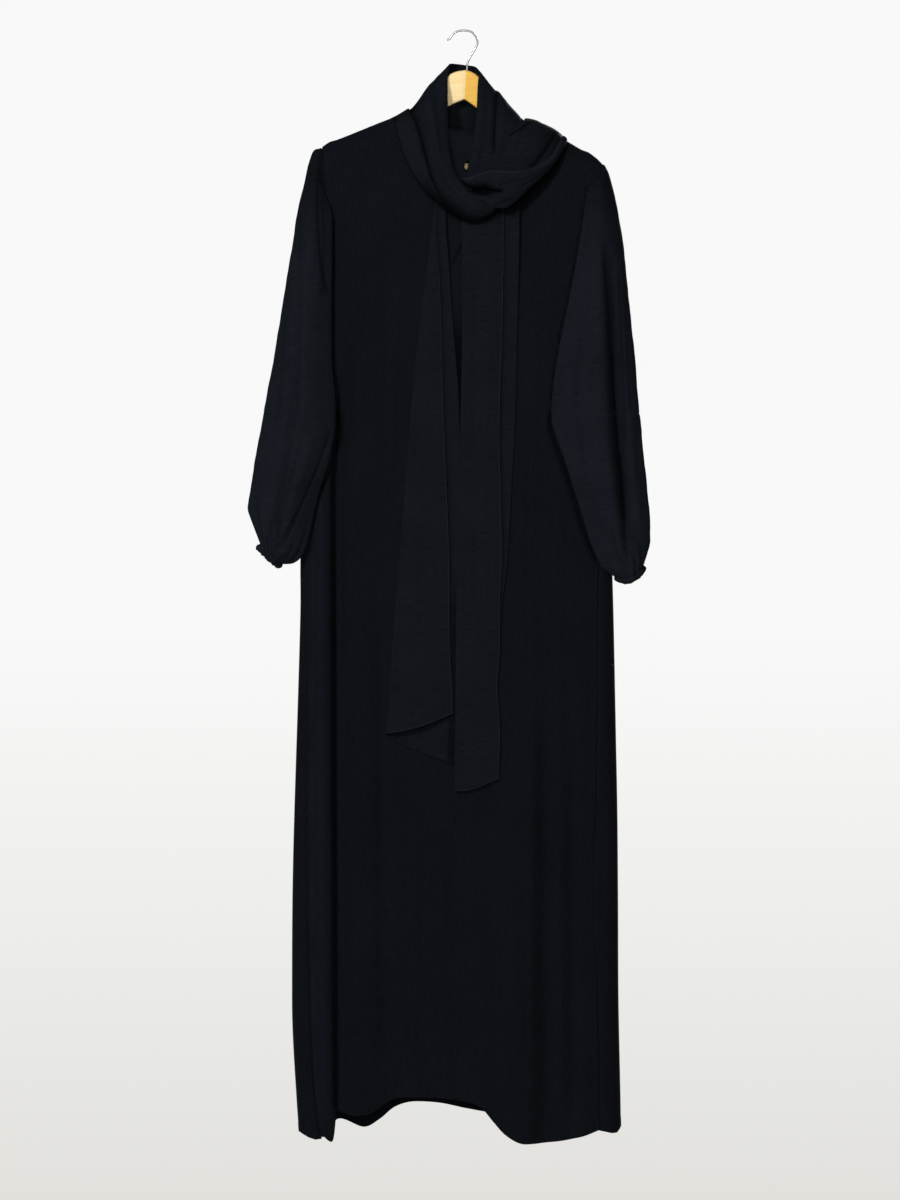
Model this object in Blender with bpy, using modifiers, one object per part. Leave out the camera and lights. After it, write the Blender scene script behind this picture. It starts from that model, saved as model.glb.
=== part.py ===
"""A closed, floor-length abaya with a wound scarf, hanging on a wooden hanger.

Metres, +Z up, +X to the viewer's right, the front facing -Y. The origin is the highest point
inside the hanger's hook, where a nail or a rail carries it. Every piece of cloth is a wall
through rows of points, and each row is worked out from the tables of named sizes below.
The tables are in millimetres, and so is every function until a mesh is made.
"""

import math

import bpy
import numpy as np

MM = 0.001
WALL = 1.4  # a cloth wall, a little thicker than the crepe itself
SEAM = 0.25  # from a seam line to the edge of either piece
REST = 1.1  # from a surface to the middle of a wall that rests on it
RIDE = 1.2  # how much further the shoulder seams ride above the arms' edge

# The hanger, in its own upright frame, with its origin at the top of the wood.
HANGER_TOP = (-2.0, -65.5)  # where that origin is in the row frame
HANGER_TILT = math.radians(3.0)  # the right arm hangs lower
ARM_SWEEP = math.tan(math.radians(8.0))  # the arms reach forward, as shoulders do
ARM_HALF = 200.0
ARM_COLUMNS = 19
WOOD_HALF = 5.5
BAR_DROP = 139.0
BAR_RADIUS = 5.3
BAR_HALF = 180.0
BAR_DEPTH = -24.0
HOOK_RADIUS = 1.5
SOCKET_GAP = 0.3  # round the bar's ends and the hook's stem
ARM_TOP = [
    # x from the middle, height
    (0, 0), (15, -4), (35, -20), (62, -45), (102, -75), (160, -102.5), (190, -118), (217, -137),
]  # fmt: skip
ARM_BOTTOM = [
    (0, -37), (21, -48.5), (100, -98), (160, -131), (186, -150), (206, -152),
]  # fmt: skip
HOOK = [
    # x, height: the wire from inside the wood to its tip
    (2.7, -69.5), (3.0, -60), (3.4, -50), (7.5, -39), (15.5, -26), (19, -17), (17, -8.5),
    (10.5, -1), (1, 1.5), (-10.5, 0.6), (-18.5, -4.5), (-23, -11), (-27, -12.3),
]  # fmt: skip

SHOULDER_X = (-214.0, 207.0)
SHOULDER_ROUND = 36.0  # how far below the shoulder seam the cloth hangs plumb
NECK_HALF = 84.0
NECK_FRONT = 166.0  # how far the neckline drops
NECK_BACK = 22.0
UNDERARM = -575.0


def table(columns, *rows):
    """Rows of numbers as named columns; the first column is what the others are read by."""
    values = np.array(rows, float)
    values = values[np.argsort(values[:, 0])]
    return {name: values[:, i] for i, name in enumerate(columns.split())}


# The body, by height: the armholes' and side seams' x, how far out the back panel's turns
# reach, and the depths (y) of the front panel, of its edges, of the back panel's edges and
# of the back panel.
BODY = table(
    "height seam_left seam_right out_left out_right front front_edge back_edge back",
    (-182, -214, 207, -214, 207, -44, -42, -18, 12),
    (-250, -208, 205, -209, 206, -47, -46, -8, 15),
    (-400, -204, 203, -205, 205, -47, -47, -4, 20),
    (-520, -204, 204, -206, 206, -47, -46, -12, 22),
    (-575, -206, 205, -214, 210, -47, -44, -42, 22),
    (-650, -219, 205, -231, 215, -48, -44, -44, 22),
    (-770, -240, 201, -246, 220, -49, -46, -46, 22),
    (-870, -239, 198, -247, 223, -50, -46, -46, 23),
    (-1010, -237, 197, -251, 226, -50, -46, -46, 24),
    (-1160, -237, 195, -256, 229, -51, -46, -46, 25),
    (-1285, -236, 191, -259, 230, -52, -47, -47, 26),
    (-1460, -232, 198, -260, 231, -54, -48, -48, 28),
    (-1610, -223, 200, -253, 234, -55, -49, -49, 30),
    (-1680, -213, 202, -248, 235, -55, -49, -49, 30),
)
# The deep fold beside the left side seam.
PLEAT = table(
    "height x depth",
    (-180, -186, 0),
    (-480, -189, 0),
    (-575, -192, 9),
    (-700, -197, 20),
    (-1010, -196, 24),
    (-1300, -195, 22),
    (-1680, -193, 20),
)
PLEAT_HALF = 7.0
FRONT_HEM = table(
    "x height",
    (-213, -1661), (-205, -1667), (-198, -1664), (-192, -1622), (-167, -1630), (-142, -1627),
    (-110, -1606), (-68, -1602), (-8, -1607), (25, -1618), (42, -1638), (60, -1658),
    (90, -1672), (130, -1669), (175, -1661), (202, -1651),
)  # fmt: skip
BACK_HEM = table(
    "x height",
    (-250, -1655), (-228, -1666), (-212, -1661), (-190, -1640), (-153, -1653), (-128, -1640),
    (-105, -1622), (-75, -1614), (-35, -1617), (0, -1624), (60, -1636), (130, -1650),
    (200, -1652), (225, -1657), (236, -1645),
)  # fmt: skip
# A fold: x at its top and foot, the heights between which it runs, its half width, and how
# deep it goes into the garment, or out of it where that is negative.
FRONT_FOLDS = [
    # x_top, x_foot, top, foot, half, depth
    (-150, -128, -700, -1700, 26, 6),
    (-60, -62, -1120, -1700, 40, -4),
    (118, 119, -960, -1700, 15, 10),
    (158, 160, -1000, -1700, 13, 6),
    (62, 78, -1250, -1700, 34, -6),
    (-168, -170, -420, -800, 12, 3),
]
BACK_FOLDS = [
    # x_top, x_foot, top, foot, half, depth
    (-150, -165, -500, -1700, 22, -8),
    (-92, -100, -650, -1700, 28, 5),
    (-40, -36, -420, -1700, 26, -7),
    (36, 44, -520, -1700, 24, -8),
    (95, 108, -700, -1700, 28, 5),
    (150, 160, -560, -1700, 22, -8),
]
# Sleeves, by the height of a row's two seam edges. rise is how much higher the row's middle
# is; inner and outer are its two sides as seen from the front; rear, front and back are the
# depths of the cloth behind the inner fold, of the sleeve's front and of its back.
SLEEVES = {
    "left": table(
        "height rise inner outer rear front back",
        (-197, 13, -213, -218, -45, -44, -19),
        (-206, 12, -209, -227, -50, -54, -12),
        (-219, 11, -205, -233, -53, -61, -8),
        (-239, 8, -202, -241, -55, -67, -6),
        (-262, 5, -200, -248, -55, -72, -5),
        (-320, 2, -199, -258, -55, -78, -5),
        (-410, 0, -198, -273, -55, -84, -6),
        (-485, 0, -197, -285, -55, -88, -8),
        (-572, 0, -196, -301, -55, -92, -16),
        (-590, 0, -199, -304, -55, -93, -19),
        (-634, 0, -211, -312, -55, -94, -26),
        (-690, 0, -229, -321, -55, -95, -34),
        (-730, 0, -243, -325, -54, -93, -40),
        (-755, 0, -254, -323, -54, -90, -43),
        (-774, 0, -267, -315, -54, -87, -46),
        (-787, 0, -280, -306, -54, -84, -50),
    ),
    "right": table(
        "height rise inner outer rear front back",
        (-219, 13, 206, 211, -45, -44, -19),
        (-229, 11, 199, 215, -50, -54, -12),
        (-240, 9, 191, 219, -53, -61, -8),
        (-258, 6, 186, 224, -55, -67, -6),
        (-285, 4, 182, 230, -55, -72, -5),
        (-330, 2, 175, 237, -55, -78, -5),
        (-410, 0, 163, 246, -55, -84, -6),
        (-485, 0, 151, 254, -55, -88, -8),
        (-572, 0, 136, 261, -55, -91, -16),
        (-590, 0, 138, 263, -55, -92, -19),
        (-634, 0, 147, 267, -55, -93, -26),
        (-694, 0, 165, 273, -55, -94, -34),
        (-740, 0, 184, 277, -54, -92, -40),
        (-775, 0, 205, 275, -54, -89, -43),
        (-795, 0, 221, 271, -54, -87, -46),
        (-808, 0, 233, 265, -54, -84, -49),
    ),
}
# The long fold down each sleeve's front.
SLEEVE_FOLDS = {
    "left": table("height x half depth", (-240, -239, 8, 0), (-420, -247, 9, 4), (-640, -262, 10, 7), (-787, -292, 8, 2)),
    "right": table(
        "height x half depth", (-300, 211, 9, 0), (-420, 222, 10, 12), (-560, 226, 10, 18), (-720, 238, 9, 14), (-808, 249, 6, 2)
    ),
}
# How the wrist's ring leans: its height per millimetre across and per millimetre of depth.
WRIST_LEAN = {"left": (-0.95, 0.1), "right": (0.15, 0.55)}
WRIST_TOP = 90.0  # above the wrist, where the leaning starts
GATHERS = 12  # round each wrist
GATHER_DEPTH = 1.7
GATHER_TOP = 55.0  # above the wrist, where the gathers fade out
CUFF_LENGTH = 9.0
CUFF_SWELL = 2.0
CUFF_ROWS = 4

# The scarf's loop round the neck, from the V up the right side, round the back, and down the
# left into the swag: the band's inner and outer edges, and how far its middle stands out.
LOOP = table(
    "t x0 y0 z0 x1 y1 z1 bulge",
    (0, -2, -54, -234, 32, -55, -246, 2),
    (1, 5, -50, -207, 53, -53, -226, 3),
    (2, 12, -42, -170, 70, -51, -198, 6),
    (3, 18, -30, -120, 80, -47, -154, 8),
    (4, 19, -15, -84, 82, -19, -126, 8),
    (4.5, 19, -7, -70, 81, -7, -127, 8),
    (5, 18, 2, -64, 79, 4, -130, 7),
    (6, 14, 14, -59, 62, 24, -152, 7),
    (7, 1, 17, -57, 1, 27, -172, 7),
    (8, -12, 14, -58, -66, 24, -152, 7),
    (9, -22, 2, -66, -96, 4, -129, 7),
    (9.5, -25, -7, -69, -101, -9, -125, 8),
    (10, -28, -15, -82, -103.5, -25, -127, 9),
    (11, -28, -30, -114, -98, -54, -160, 12),
    (12, -26, -46, -165, -84, -58, -200, 13),
    (13, -18, -58, -212, -57, -64, -241, 13),
    (14, 0, -67, -240, -22, -69, -268, 13),
    (15, 22, -72, -258, 12, -72, -281, 11),
    (16, 42, -74, -266, 38, -72, -281, 7),
    (17, 56, -72, -265, 56, -71, -275, 3),
)
LOOP_CUTS = {"scarf_right": (0.0, 5.97), "scarf_back": (6.03, 7.97), "scarf_left": (8.03, 17.0)}
FLAP = table(
    "t x0 y0 z0 x1 y1 z1 bulge",
    (0, -6, -60, -228, 2, -59, -256, 2),
    (1, 14, -65, -220, 26, -61, -266, 3),
    (2, 46, -69, -213, 60, -63, -266, 6),
    (3, 83, -69, -210, 96, -63, -243, 10),
    (4, 118, -62, -199, 124, -55, -213, 8),
    (5, 138, -50, -182, 142, -48, -190, 6),
    (6, 147, -33, -163, 152, -28, -167, 4),
)
SHOULDER_BUNCH = table(
    "t x0 y0 z0 x1 y1 z1 bulge",
    (0, 36, -61.9, -200, 90, -61.9, -216, 2),
    (1, 56, -62, -174, 112, -61.6, -202, 5),
    (2, 74, -58.5, -152, 130, -53, -182, 7),
    (3, 88, -38, -138, 144, -34, -166, 8),
    (4, 90, -8, -133, 148, -6, -162, 7),
    (5, 88, 18, -138, 144, 20, -172, 8),
    (6, 66, 34, -158, 116, 34, -212, 8),
    (7, 4, 37, -168, 20, 38, -240, 8),
    (8, -60, 34, -162, -66, 36, -228, 7),
    (9, -98, 22, -150, -112, 22, -182, 5),
)
# Scarf ends lying on the front panel, by height: the fold at their left, the free edge of
# the front layer, and the edge of the layer behind it.
TAILS = {
    "left": table(
        "height left front_right back_right",
        (-250, -44, -41, -30),
        (-300, -52, -41, -28),
        (-350, -58, -38, -24),
        (-440, -69, -35, -17),
        (-560, -80, -32, -11),
        (-710, -91, -27, -11),
        (-860, -101, -22, -12),
        (-980, -110, -19, -12),
        (-1060, -115, -18, -14),
    ),
    "right": table(
        "height left front_right back_right",
        (-250, -4, 59, 82),
        (-350, -4, 58, 81),
        (-500, -5, 54, 78),
        (-680, -8, 51, 70),
        (-860, -10, 52, 60),
        (-1010, -12, 48, 54),
        (-1120, -12.5, 51, 48),
        (-1146, -12.5, 49, 46),
    ),
}
TAIL_HEMS = {"left": (-1032, -1055, -1104), "right": (-1124, -1142, -1128)}  # free edge, fold, back edge
TAIL_SAG = {"left": 0.0, "right": 8.0}
TAIL_LIFT = 5.0  # how far the ends stand off the panel under the swag
TAIL_SETTLE = (-270.0, -470.0)  # the heights between which they come to lie on it
TAIL_LAYERS = (2.2, 5.6)  # the back and front layers' distances from the panel

FRONT_SHARES = np.concatenate([np.linspace(0, 1, 5, False), np.linspace(1, 2, 6, False), np.linspace(2, 3, 29)])
BACK_TURN = 6
BACK_ACROSS = 24
SLEEVE_ROUND = 3 * GATHERS + 1
PANEL_ROWS = np.array([0, 2, 6, 13, 24, 42, 90, 180, 290, 400, 530, 680, 830, 980, 1130, 1270, 1370, 1425, 1450]) / 1450
CLOTH = ("black_crepe", (0.012, 0.013, 0.017, 1.0), 0.0, 0.85)
WOOD = ("varnished_beech", (0.74, 0.45, 0.15, 1.0), 0.0, 0.35)
STEEL = ("polished_steel", (0.62, 0.63, 0.65, 1.0), 1.0, 0.25)


def smooth_line(keys, values, at):
    """A smooth curve through the values, level past both ends."""
    keys, values = np.asarray(keys, float), np.asarray(values, float)
    at = np.clip(at, keys[0], keys[-1])
    rise = np.diff(values) / np.diff(keys)
    slope = np.concatenate([[rise[0]], (rise[1:] + rise[:-1]) / 2, [rise[-1]]])
    turning = np.concatenate([[False], rise[1:] * rise[:-1] <= 0, [False]])
    slope[turning] = 0
    i = np.clip(np.searchsorted(keys, at) - 1, 0, len(keys) - 2)
    step = keys[i + 1] - keys[i]
    t = (at - keys[i]) / step
    return (
        (2 * t**3 - 3 * t**2 + 1) * values[i]
        + (t**3 - 2 * t**2 + t) * step * slope[i]
        + (3 * t**2 - 2 * t**3) * values[i + 1]
        + (t**3 - t**2) * step * slope[i + 1]
    )


def read(rows, column, at):
    """A table's column at a value of its first column."""
    return smooth_line(next(iter(rows.values())), rows[column], at)


def ease(value, low, high):
    """0 at low, 1 at high, and a smooth step between."""
    t = np.clip((value - low) / (high - low), 0, 1)
    return t * t * (3 - 2 * t)


def mix(a, b, t):
    return a + (b - a) * t


def through(keys, count):
    """Points evenly spaced along a smooth open curve through the key points."""
    keys = np.asarray(keys, float)
    ends = np.concatenate([[2 * keys[0] - keys[1]], keys, [2 * keys[-1] - keys[-2]]])
    t = np.linspace(0, 1, 12, endpoint=False)[:, None]
    dense = []
    for a, b, c, d in zip(ends, ends[1:], ends[2:], ends[3:]):
        dense.append(0.5 * (2 * b + (c - a) * t + (2 * a - 5 * b + 4 * c - d) * t**2 + (3 * b - a - 3 * c + d) * t**3))
    dense = np.concatenate(dense + [keys[-1:]])
    along = np.concatenate([[0], np.cumsum(np.linalg.norm(np.diff(dense, axis=0), axis=1))])
    at = np.linspace(0, along[-1], count)
    return np.stack([np.interp(at, along, dense[:, i]) for i in range(dense.shape[1])], axis=-1)


def tilted(x, z):
    """A point of the upright hanger, in the row frame."""
    c, s = math.cos(HANGER_TILT), math.sin(HANGER_TILT)
    return HANGER_TOP[0] + x * c + z * s, HANGER_TOP[1] - x * s + z * c


def arm_edge(rows, x):
    """The height of the wooden arms' top or bottom edge, upright."""
    rows = np.array(rows, float)
    return np.interp(np.abs(x), rows[:, 0], rows[:, 1])


def ridge(x):
    """The height of the shoulder seam, which rests on the wooden arms."""
    arm = np.linspace(-ARM_TOP[-1][0], ARM_TOP[-1][0], 2 * ARM_COLUMNS - 1)
    at, height = tilted(arm, arm_edge(ARM_TOP, arm))
    return np.interp(x, at, height) + REST + RIDE


def arm_depth(x):
    """The depth of the hanger's arms, which the shoulder seam follows."""
    return -ARM_SWEEP * np.abs(x - HANGER_TOP[0])


def over_shoulder(x, z, depth, side):
    """The depth of cloth that rounds over the arm and then hangs at the given depth."""
    below = np.clip((ridge(x) - z) / SHOULDER_ROUND, 0, 1)
    hang = np.sqrt(1 - (1 - below) ** 2)
    hang = 1 - ease(np.abs(x), NECK_HALF - 14, NECK_HALF + 6) * (1 - hang)
    start = arm_depth(x) + side * 2 * SEAM
    return start + (depth - start) * hang


def neckline(x, drop):
    """The height of a panel's top edge: the shoulder seams and the neckline between them."""
    return ridge(x) - drop * np.clip(1 - (x / NECK_HALF) ** 2, 0, 1) ** 0.6


def folds(rows, x, z):
    """The sum of a list's folds at a place."""
    total = np.zeros(np.broadcast(x, z).shape)
    for x_top, x_foot, top, foot, half, depth in rows:
        along = np.clip((top - z) / (top - foot), 0, 1)
        middle = mix(x_top, x_foot, along)
        total += depth * ease(along, 0, 0.3) * np.exp(-(((x - middle) / half) ** 2))
    return total


def pleat(x, z):
    """The deep fold beside the left side seam: a rounded strip, then a groove."""
    middle, depth = read(PLEAT, "x", z), read(PLEAT, "depth", z)
    strip = np.exp(-(((x - middle + 21) / 15) ** 2))
    groove = np.exp(-(((x - middle) / (0.62 * PLEAT_HALF)) ** 4))
    return depth * (groove - 0.38 * strip)


def front_surface(x, z):
    """The depth of the middle of the front panel's wall."""
    left, right = read(BODY, "seam_left", z), read(BODY, "seam_right", z)
    inside = ease(np.minimum(x - left, right - x), 0, 30)
    depth = mix(read(BODY, "front_edge", z), read(BODY, "front", z), inside)
    depth = depth + (folds(FRONT_FOLDS, x, z) + pleat(x, z)) * ease(right - x, 0, 30)
    return over_shoulder(x, z, depth, -1)


def front_columns(z):
    """The x of the front panel's columns: beside the seam, in the groove, and in the rest."""
    share = FRONT_SHARES
    low, high = read(PLEAT, "x", z) - PLEAT_HALF, read(PLEAT, "x", z) + PLEAT_HALF
    left, right = read(BODY, "seam_left", z) + SEAM, read(BODY, "seam_right", z) - SEAM
    beside = mix(left, low, share)
    groove = mix(low, high, share - 1)
    return np.where(share < 1, beside, np.where(share < 2, groove, mix(high, right, share - 2)))


def front_panel():
    top = neckline(front_columns(-190.0), NECK_FRONT)
    hem = read(FRONT_HEM, "height", front_columns(-1640.0))
    z = top + (hem - top) * PANEL_ROWS[:, None]
    x = front_columns(z)
    return np.stack([x, front_surface(x, z), z], axis=-1)


def back_columns(z):
    """The x and depth of the back panel's columns at one height, from seam to seam."""
    edge, back = read(BODY, "back_edge", z), read(BODY, "back", z)
    halves = []
    for side, name in ((-1, "left"), (1, "right")):
        seam, out = read(BODY, "seam_" + name, z), read(BODY, "out_" + name, z)
        start = edge + REST * ease(-z, 560, 580) + 1.1
        keys = [
            (seam + side * 0.3, start),
            (mix(seam, out, 0.75), mix(start, back, 0.12)),
            (out, mix(start, back, 0.45)),
            (out - side * 7, mix(start, back, 0.85)),
            (out - side * 24, back),
        ]
        turn = through(keys, BACK_TURN)
        squeeze = ease(z, -260, -190)
        turn[:, 0] = mix(turn[:, 0], seam - side * np.linspace(0.3, 24, BACK_TURN), squeeze)
        halves.append(turn)
    left, right = halves[0], halves[1][::-1]
    across = np.linspace(left[-1], right[0], BACK_ACROSS)[1:-1]
    inside = ease(np.minimum(across[:, 0] - left[-1, 0], right[0, 0] - across[:, 0]), 0, 20)
    across[:, 1] += folds(BACK_FOLDS, across[:, 0], z) * -inside
    return np.concatenate([left, across, right])


def back_panel():
    top = neckline(back_columns(-190.0)[:, 0], NECK_BACK)
    hem = read(BACK_HEM, "height", back_columns(-1640.0)[:, 0])
    heights = top + (hem - top) * PANEL_ROWS[:, None]
    points = np.empty(heights.shape + (3,))
    for i, row in enumerate(heights):
        for j, z in enumerate(row):
            x, y = back_columns(z)[j]
            points[i, j] = x, over_shoulder(x, z, y, 1), z
    return points


def sleeve_row(name, height):
    """One row of a sleeve, from the armhole's front edge round to its back edge."""
    side = -1 if name == "left" else 1
    rows = SLEEVES[name]
    inner, outer, rear, front, back = (read(rows, k, height) for k in ("inner", "outer", "rear", "front", "back"))
    seam, out = read(BODY, "seam_" + name, height), read(BODY, "out_" + name, height)
    width, middle = outer - inner, (front + back) / 2
    closed = ease(-height, -UNDERARM, -UNDERARM + 60)
    below = height < UNDERARM
    under_x = inner + side * max(0.35 * abs(width), side * (out - inner) + 9)
    under_x = mix(seam + side * 6, min(under_x, outer - side * 6, key=abs), closed)
    front_y = front_surface(seam, height) - REST - 0.9
    back_y = over_shoulder(seam, height, read(BODY, "back_edge", height), 1) + 4
    first = (under_x - side * SEAM, rear) if below else (seam, front_y)
    last = (under_x + side * SEAM, rear) if below else (max(abs(seam), abs(out)) * side + side * (REST + 1.1), back_y)
    keys = [
        first,
        (first[0], first[1] - 1.8) if not below else (mix(inner, first[0], 0.85), rear),
        (mix(inner, first[0], 0.5), rear),
        (inner, mix(rear, front, 0.12)),
        (inner + 0.1 * width, mix(rear, front, 0.42)),
        (inner + 0.32 * width, mix(rear, front, 0.85)),
        (inner + 0.56 * width, front),
        (inner + 0.84 * width, mix(front, middle, 0.4)),
        (outer, middle),
        (inner + 0.86 * width, mix(middle, back, 0.7)),
        (mix(last[0], outer, 0.45), back),
        last,
    ]
    row = through(keys, SLEEVE_ROUND)
    fold = SLEEVE_FOLDS[name]
    near = np.exp(-(((row[:, 0] - read(fold, "x", height)) / read(fold, "half", height)) ** 2))
    row[:, 1] += read(fold, "depth", height) * near * (row[:, 1] < middle)
    around = np.linspace(0, 1, SLEEVE_ROUND)
    z = height + read(rows, "rise", height) * np.sin(math.pi * around) ** 0.8
    return np.column_stack([row, z])


def outward(points):
    """Unit directions across a grid's rows and columns."""
    along, around = np.gradient(points, axis=0), np.gradient(points, axis=1)
    normal = np.cross(around, along)
    return normal / np.maximum(np.linalg.norm(normal, axis=-1, keepdims=True), 1e-9)


def gather_wave(count):
    return np.cos(2 * math.pi * GATHERS * np.linspace(0, 1, count))


def sleeve(name):
    heights = SLEEVES[name]["height"][::-1]
    points = np.array([sleeve_row(name, height) for height in heights])
    wrist = heights[-1]
    lean = ease(-heights, -(wrist + WRIST_TOP), -wrist)[:, None]
    centre = points.mean(axis=1, keepdims=True)
    across, deep = WRIST_LEAN[name]
    shift = (points - centre)[..., 0] * across + (points - centre)[..., 1] * deep
    points[..., 2] += lean * shift
    fade = ease(-heights, -(wrist + GATHER_TOP), -wrist)[:, None, None]
    normal = outward(points)
    normal[..., 2] = 0
    edges = np.sin(math.pi * np.linspace(0, 1, SLEEVE_ROUND)) ** 0.3
    return points - normal * fade * (GATHER_DEPTH * gather_wave(SLEEVE_ROUND) * edges)[None, :, None]


def cuff(name):
    """A puckered ring just past the sleeve's last row, along the way that row faces."""
    last = sleeve(name)[-1]
    centre = last.mean(axis=0)
    across, deep = WRIST_LEAN[name]
    axis = np.array([across, deep, -1.0])
    axis /= np.linalg.norm(axis)
    share = np.linspace(0, 1, CUFF_ROWS)
    reach = 2 * SEAM + 0.7 + share * CUFF_LENGTH
    swell = 1 + (CUFF_SWELL * np.sin(math.pi * share) - 1.2) / 16
    around = (last - centre)[None] * swell[:, None, None]
    return centre + around + axis * reach[:, None, None]


def band(rows, start, end, count, columns):
    """A band between two edges, standing out in its middle."""
    t = np.linspace(start, end, count)
    first = np.stack([read(rows, k, t) for k in ("x0", "y0", "z0")], axis=-1)
    second = np.stack([read(rows, k, t) for k in ("x1", "y1", "z1")], axis=-1)
    across = (1 - np.cos(math.pi * np.linspace(0, 1, columns))) / 2
    flat = first[:, None] + (second - first)[:, None] * across[None, :, None]
    out = outward(flat).mean(axis=1, keepdims=True)
    out /= np.linalg.norm(out, axis=-1, keepdims=True)
    stand = np.sqrt(np.sin(math.pi * np.clip(across, 0, 1)).clip(0))
    return flat + out * read(rows, "bulge", t)[:, None, None] * stand[None, :, None]


def tail(name):
    """A scarf end folded lengthwise: front layer, the fold at its left, back layer."""
    rows = TAILS[name]
    hem_front, hem_fold, hem_back = TAIL_HEMS[name]
    top = rows["height"][-1]
    side = np.linspace(-1, 1, 15)  # -1 the front layer's free edge, 0 the fold, 1 the back edge
    hem = np.where(side < 0, mix(hem_fold, hem_front, -side), mix(hem_fold, hem_back, side))
    hem = hem - TAIL_SAG[name] * np.sin(math.pi * np.clip(-side, 0, 1))
    z = top + (hem - top) * np.linspace(0, 1, 12)[:, None]
    left = read(rows, "left", z)
    free = np.where(side < 0, read(rows, "front_right", z), read(rows, "back_right", z))
    x = left + (free - left) * np.abs(side) ** 1.35
    near, far = TAIL_LAYERS
    layer = mix(far, near, ease(side, -0.12, 0.12))
    lift = TAIL_LIFT * (1 - ease(-z, -TAIL_SETTLE[0], -TAIL_SETTLE[1]))
    y = front_surface(x, z) - layer - lift
    return np.stack([x, y, z], axis=-1)


def material(spec):
    name, colour, metallic, roughness = spec
    found = bpy.data.materials.new(name)
    found.use_nodes = True
    shader = found.node_tree.nodes["Principled BSDF"]
    shader.inputs["Base Color"].default_value = colour
    shader.inputs["Metallic"].default_value = metallic
    shader.inputs["Roughness"].default_value = roughness
    found.diffuse_color = colour
    return found


def add(name, mesh, spec, collection):
    mesh.materials.append(material((name + "_" + spec[0],) + spec[1:]))
    piece = bpy.data.objects.new(name, mesh)
    collection.objects.link(piece)
    return piece


def grid_mesh(name, points):
    """A grid of faces whose points are the rows given."""
    rows, columns = points.shape[:2]
    index = np.arange(rows * columns).reshape(rows, columns)
    faces = np.stack([index[:-1, :-1], index[1:, :-1], index[1:, 1:], index[:-1, 1:]], axis=-1)
    mesh = bpy.data.meshes.new(name)
    mesh.from_pydata((points.reshape(-1, 3) * MM).tolist(), [], faces.reshape(-1, 4).tolist())
    return mesh


def cloth(name, points, collection):
    """A wall of cloth on both sides of a grid of points."""
    piece = add(name, grid_mesh(name, points), CLOTH, collection)
    wall = piece.modifiers.new("wall", "SOLIDIFY")
    wall.thickness = WALL * MM
    wall.offset = 0
    return piece


def rod(name, points, radius, spec, collection):
    """A round bar or wire along a line of points, with flat ends."""
    curve = bpy.data.curves.new(name, "CURVE")
    curve.dimensions = "3D"
    curve.bevel_depth = radius * MM
    curve.bevel_resolution = 2
    curve.use_fill_caps = True
    line = curve.splines.new("POLY")
    line.points.add(len(points) - 1)
    for point, (x, y, z) in zip(line.points, points):
        point.co = (x * MM, y * MM, z * MM, 1)
    return add(name, curve, spec, collection)


def wooden_arms(collection):
    """The two arms, mitred at the middle, as rounded sections from tip to tip."""
    arm = np.linspace(-ARM_HALF, ARM_HALF, 2 * ARM_COLUMNS - 1)
    arm = np.sort(np.concatenate([arm[np.abs(arm) > 25], [-21, -12, -5, 0, 5, 12, 21]]))
    top, bottom = arm_edge(ARM_TOP, arm), arm_edge(ARM_BOTTOM, arm)
    turn = np.radians([0, 30, 60, 90, 120, 150, 180])
    upper = np.stack([WOOD_HALF * np.cos(turn), 4.5 * (np.sin(turn) - 1)], axis=-1)
    lower = np.array([(-WOOD_HALF, 3.0), (-3.5, 0.0), (3.5, 0.0), (WOOD_HALF, 3.0)])
    rings = []
    for x, high, low in zip(arm, top, bottom):
        rings.append([(x, -y - ARM_SWEEP * abs(x), high + z) for y, z in upper] + [(x, -y - ARM_SWEEP * abs(x), low + z) for y, z in lower])
    points = np.array(rings)
    points[..., 0], points[..., 2] = tilted(points[..., 0], points[..., 2])
    count, around = points.shape[:2]
    index = np.arange(count * around).reshape(count, around)
    after = np.roll(index, -1, axis=1)
    sides = np.stack([index[:-1], after[:-1], after[1:], index[1:]], axis=-1).reshape(-1, 4).tolist()
    mesh = bpy.data.meshes.new("hanger_wood")
    mesh.from_pydata((points.reshape(-1, 3) * MM).tolist(), [], sides + [index[0][::-1].tolist(), index[-1].tolist()])
    return add("hanger_wood", mesh, WOOD, collection)


def cut_socket(piece, name, points, radius, helpers):
    """A round hole for a bar or a wire, a little wider than it."""
    cutter = rod(name, points, radius, WOOD, helpers)
    mesh = bpy.data.meshes.new_from_object(cutter)
    solid = bpy.data.objects.new(name + "_solid", mesh)
    helpers.objects.link(solid)
    bpy.data.objects.remove(cutter)
    solid.hide_render = True
    solid.display_type = "WIRE"
    weld = solid.modifiers.new("weld", "WELD")
    weld.merge_threshold = 0.00001
    hole = piece.modifiers.new(name, "BOOLEAN")
    hole.operation = "DIFFERENCE"
    hole.solver = "EXACT"
    hole.object = solid


def hanger(collection, helpers):
    wood = wooden_arms(collection)
    ends = [tilted(x, -BAR_DROP) for x in (-BAR_HALF, BAR_HALF)]
    bar = [(x, BAR_DEPTH, z) for x, z in ends]
    rod("hanger_bar", bar, BAR_RADIUS, WOOD, collection)
    wire = through([(x, 0, z) for x, z in HOOK], 22)
    wire[0, :2] = wire[1, :2]
    rod("hanger_hook", wire, HOOK_RADIUS, STEEL, collection)
    longer = [(x + s * SOCKET_GAP, BAR_DEPTH, z) for (x, z), s in zip(ends, (-1, 1))]
    cut_socket(wood, "bar_socket", longer, BAR_RADIUS + SOCKET_GAP, helpers)
    stem = [(wire[0, 0], 0, wire[0, 2] - SOCKET_GAP), (wire[0, 0], 0, -50)]
    cut_socket(wood, "hook_socket", stem, HOOK_RADIUS + SOCKET_GAP, helpers)


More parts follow.
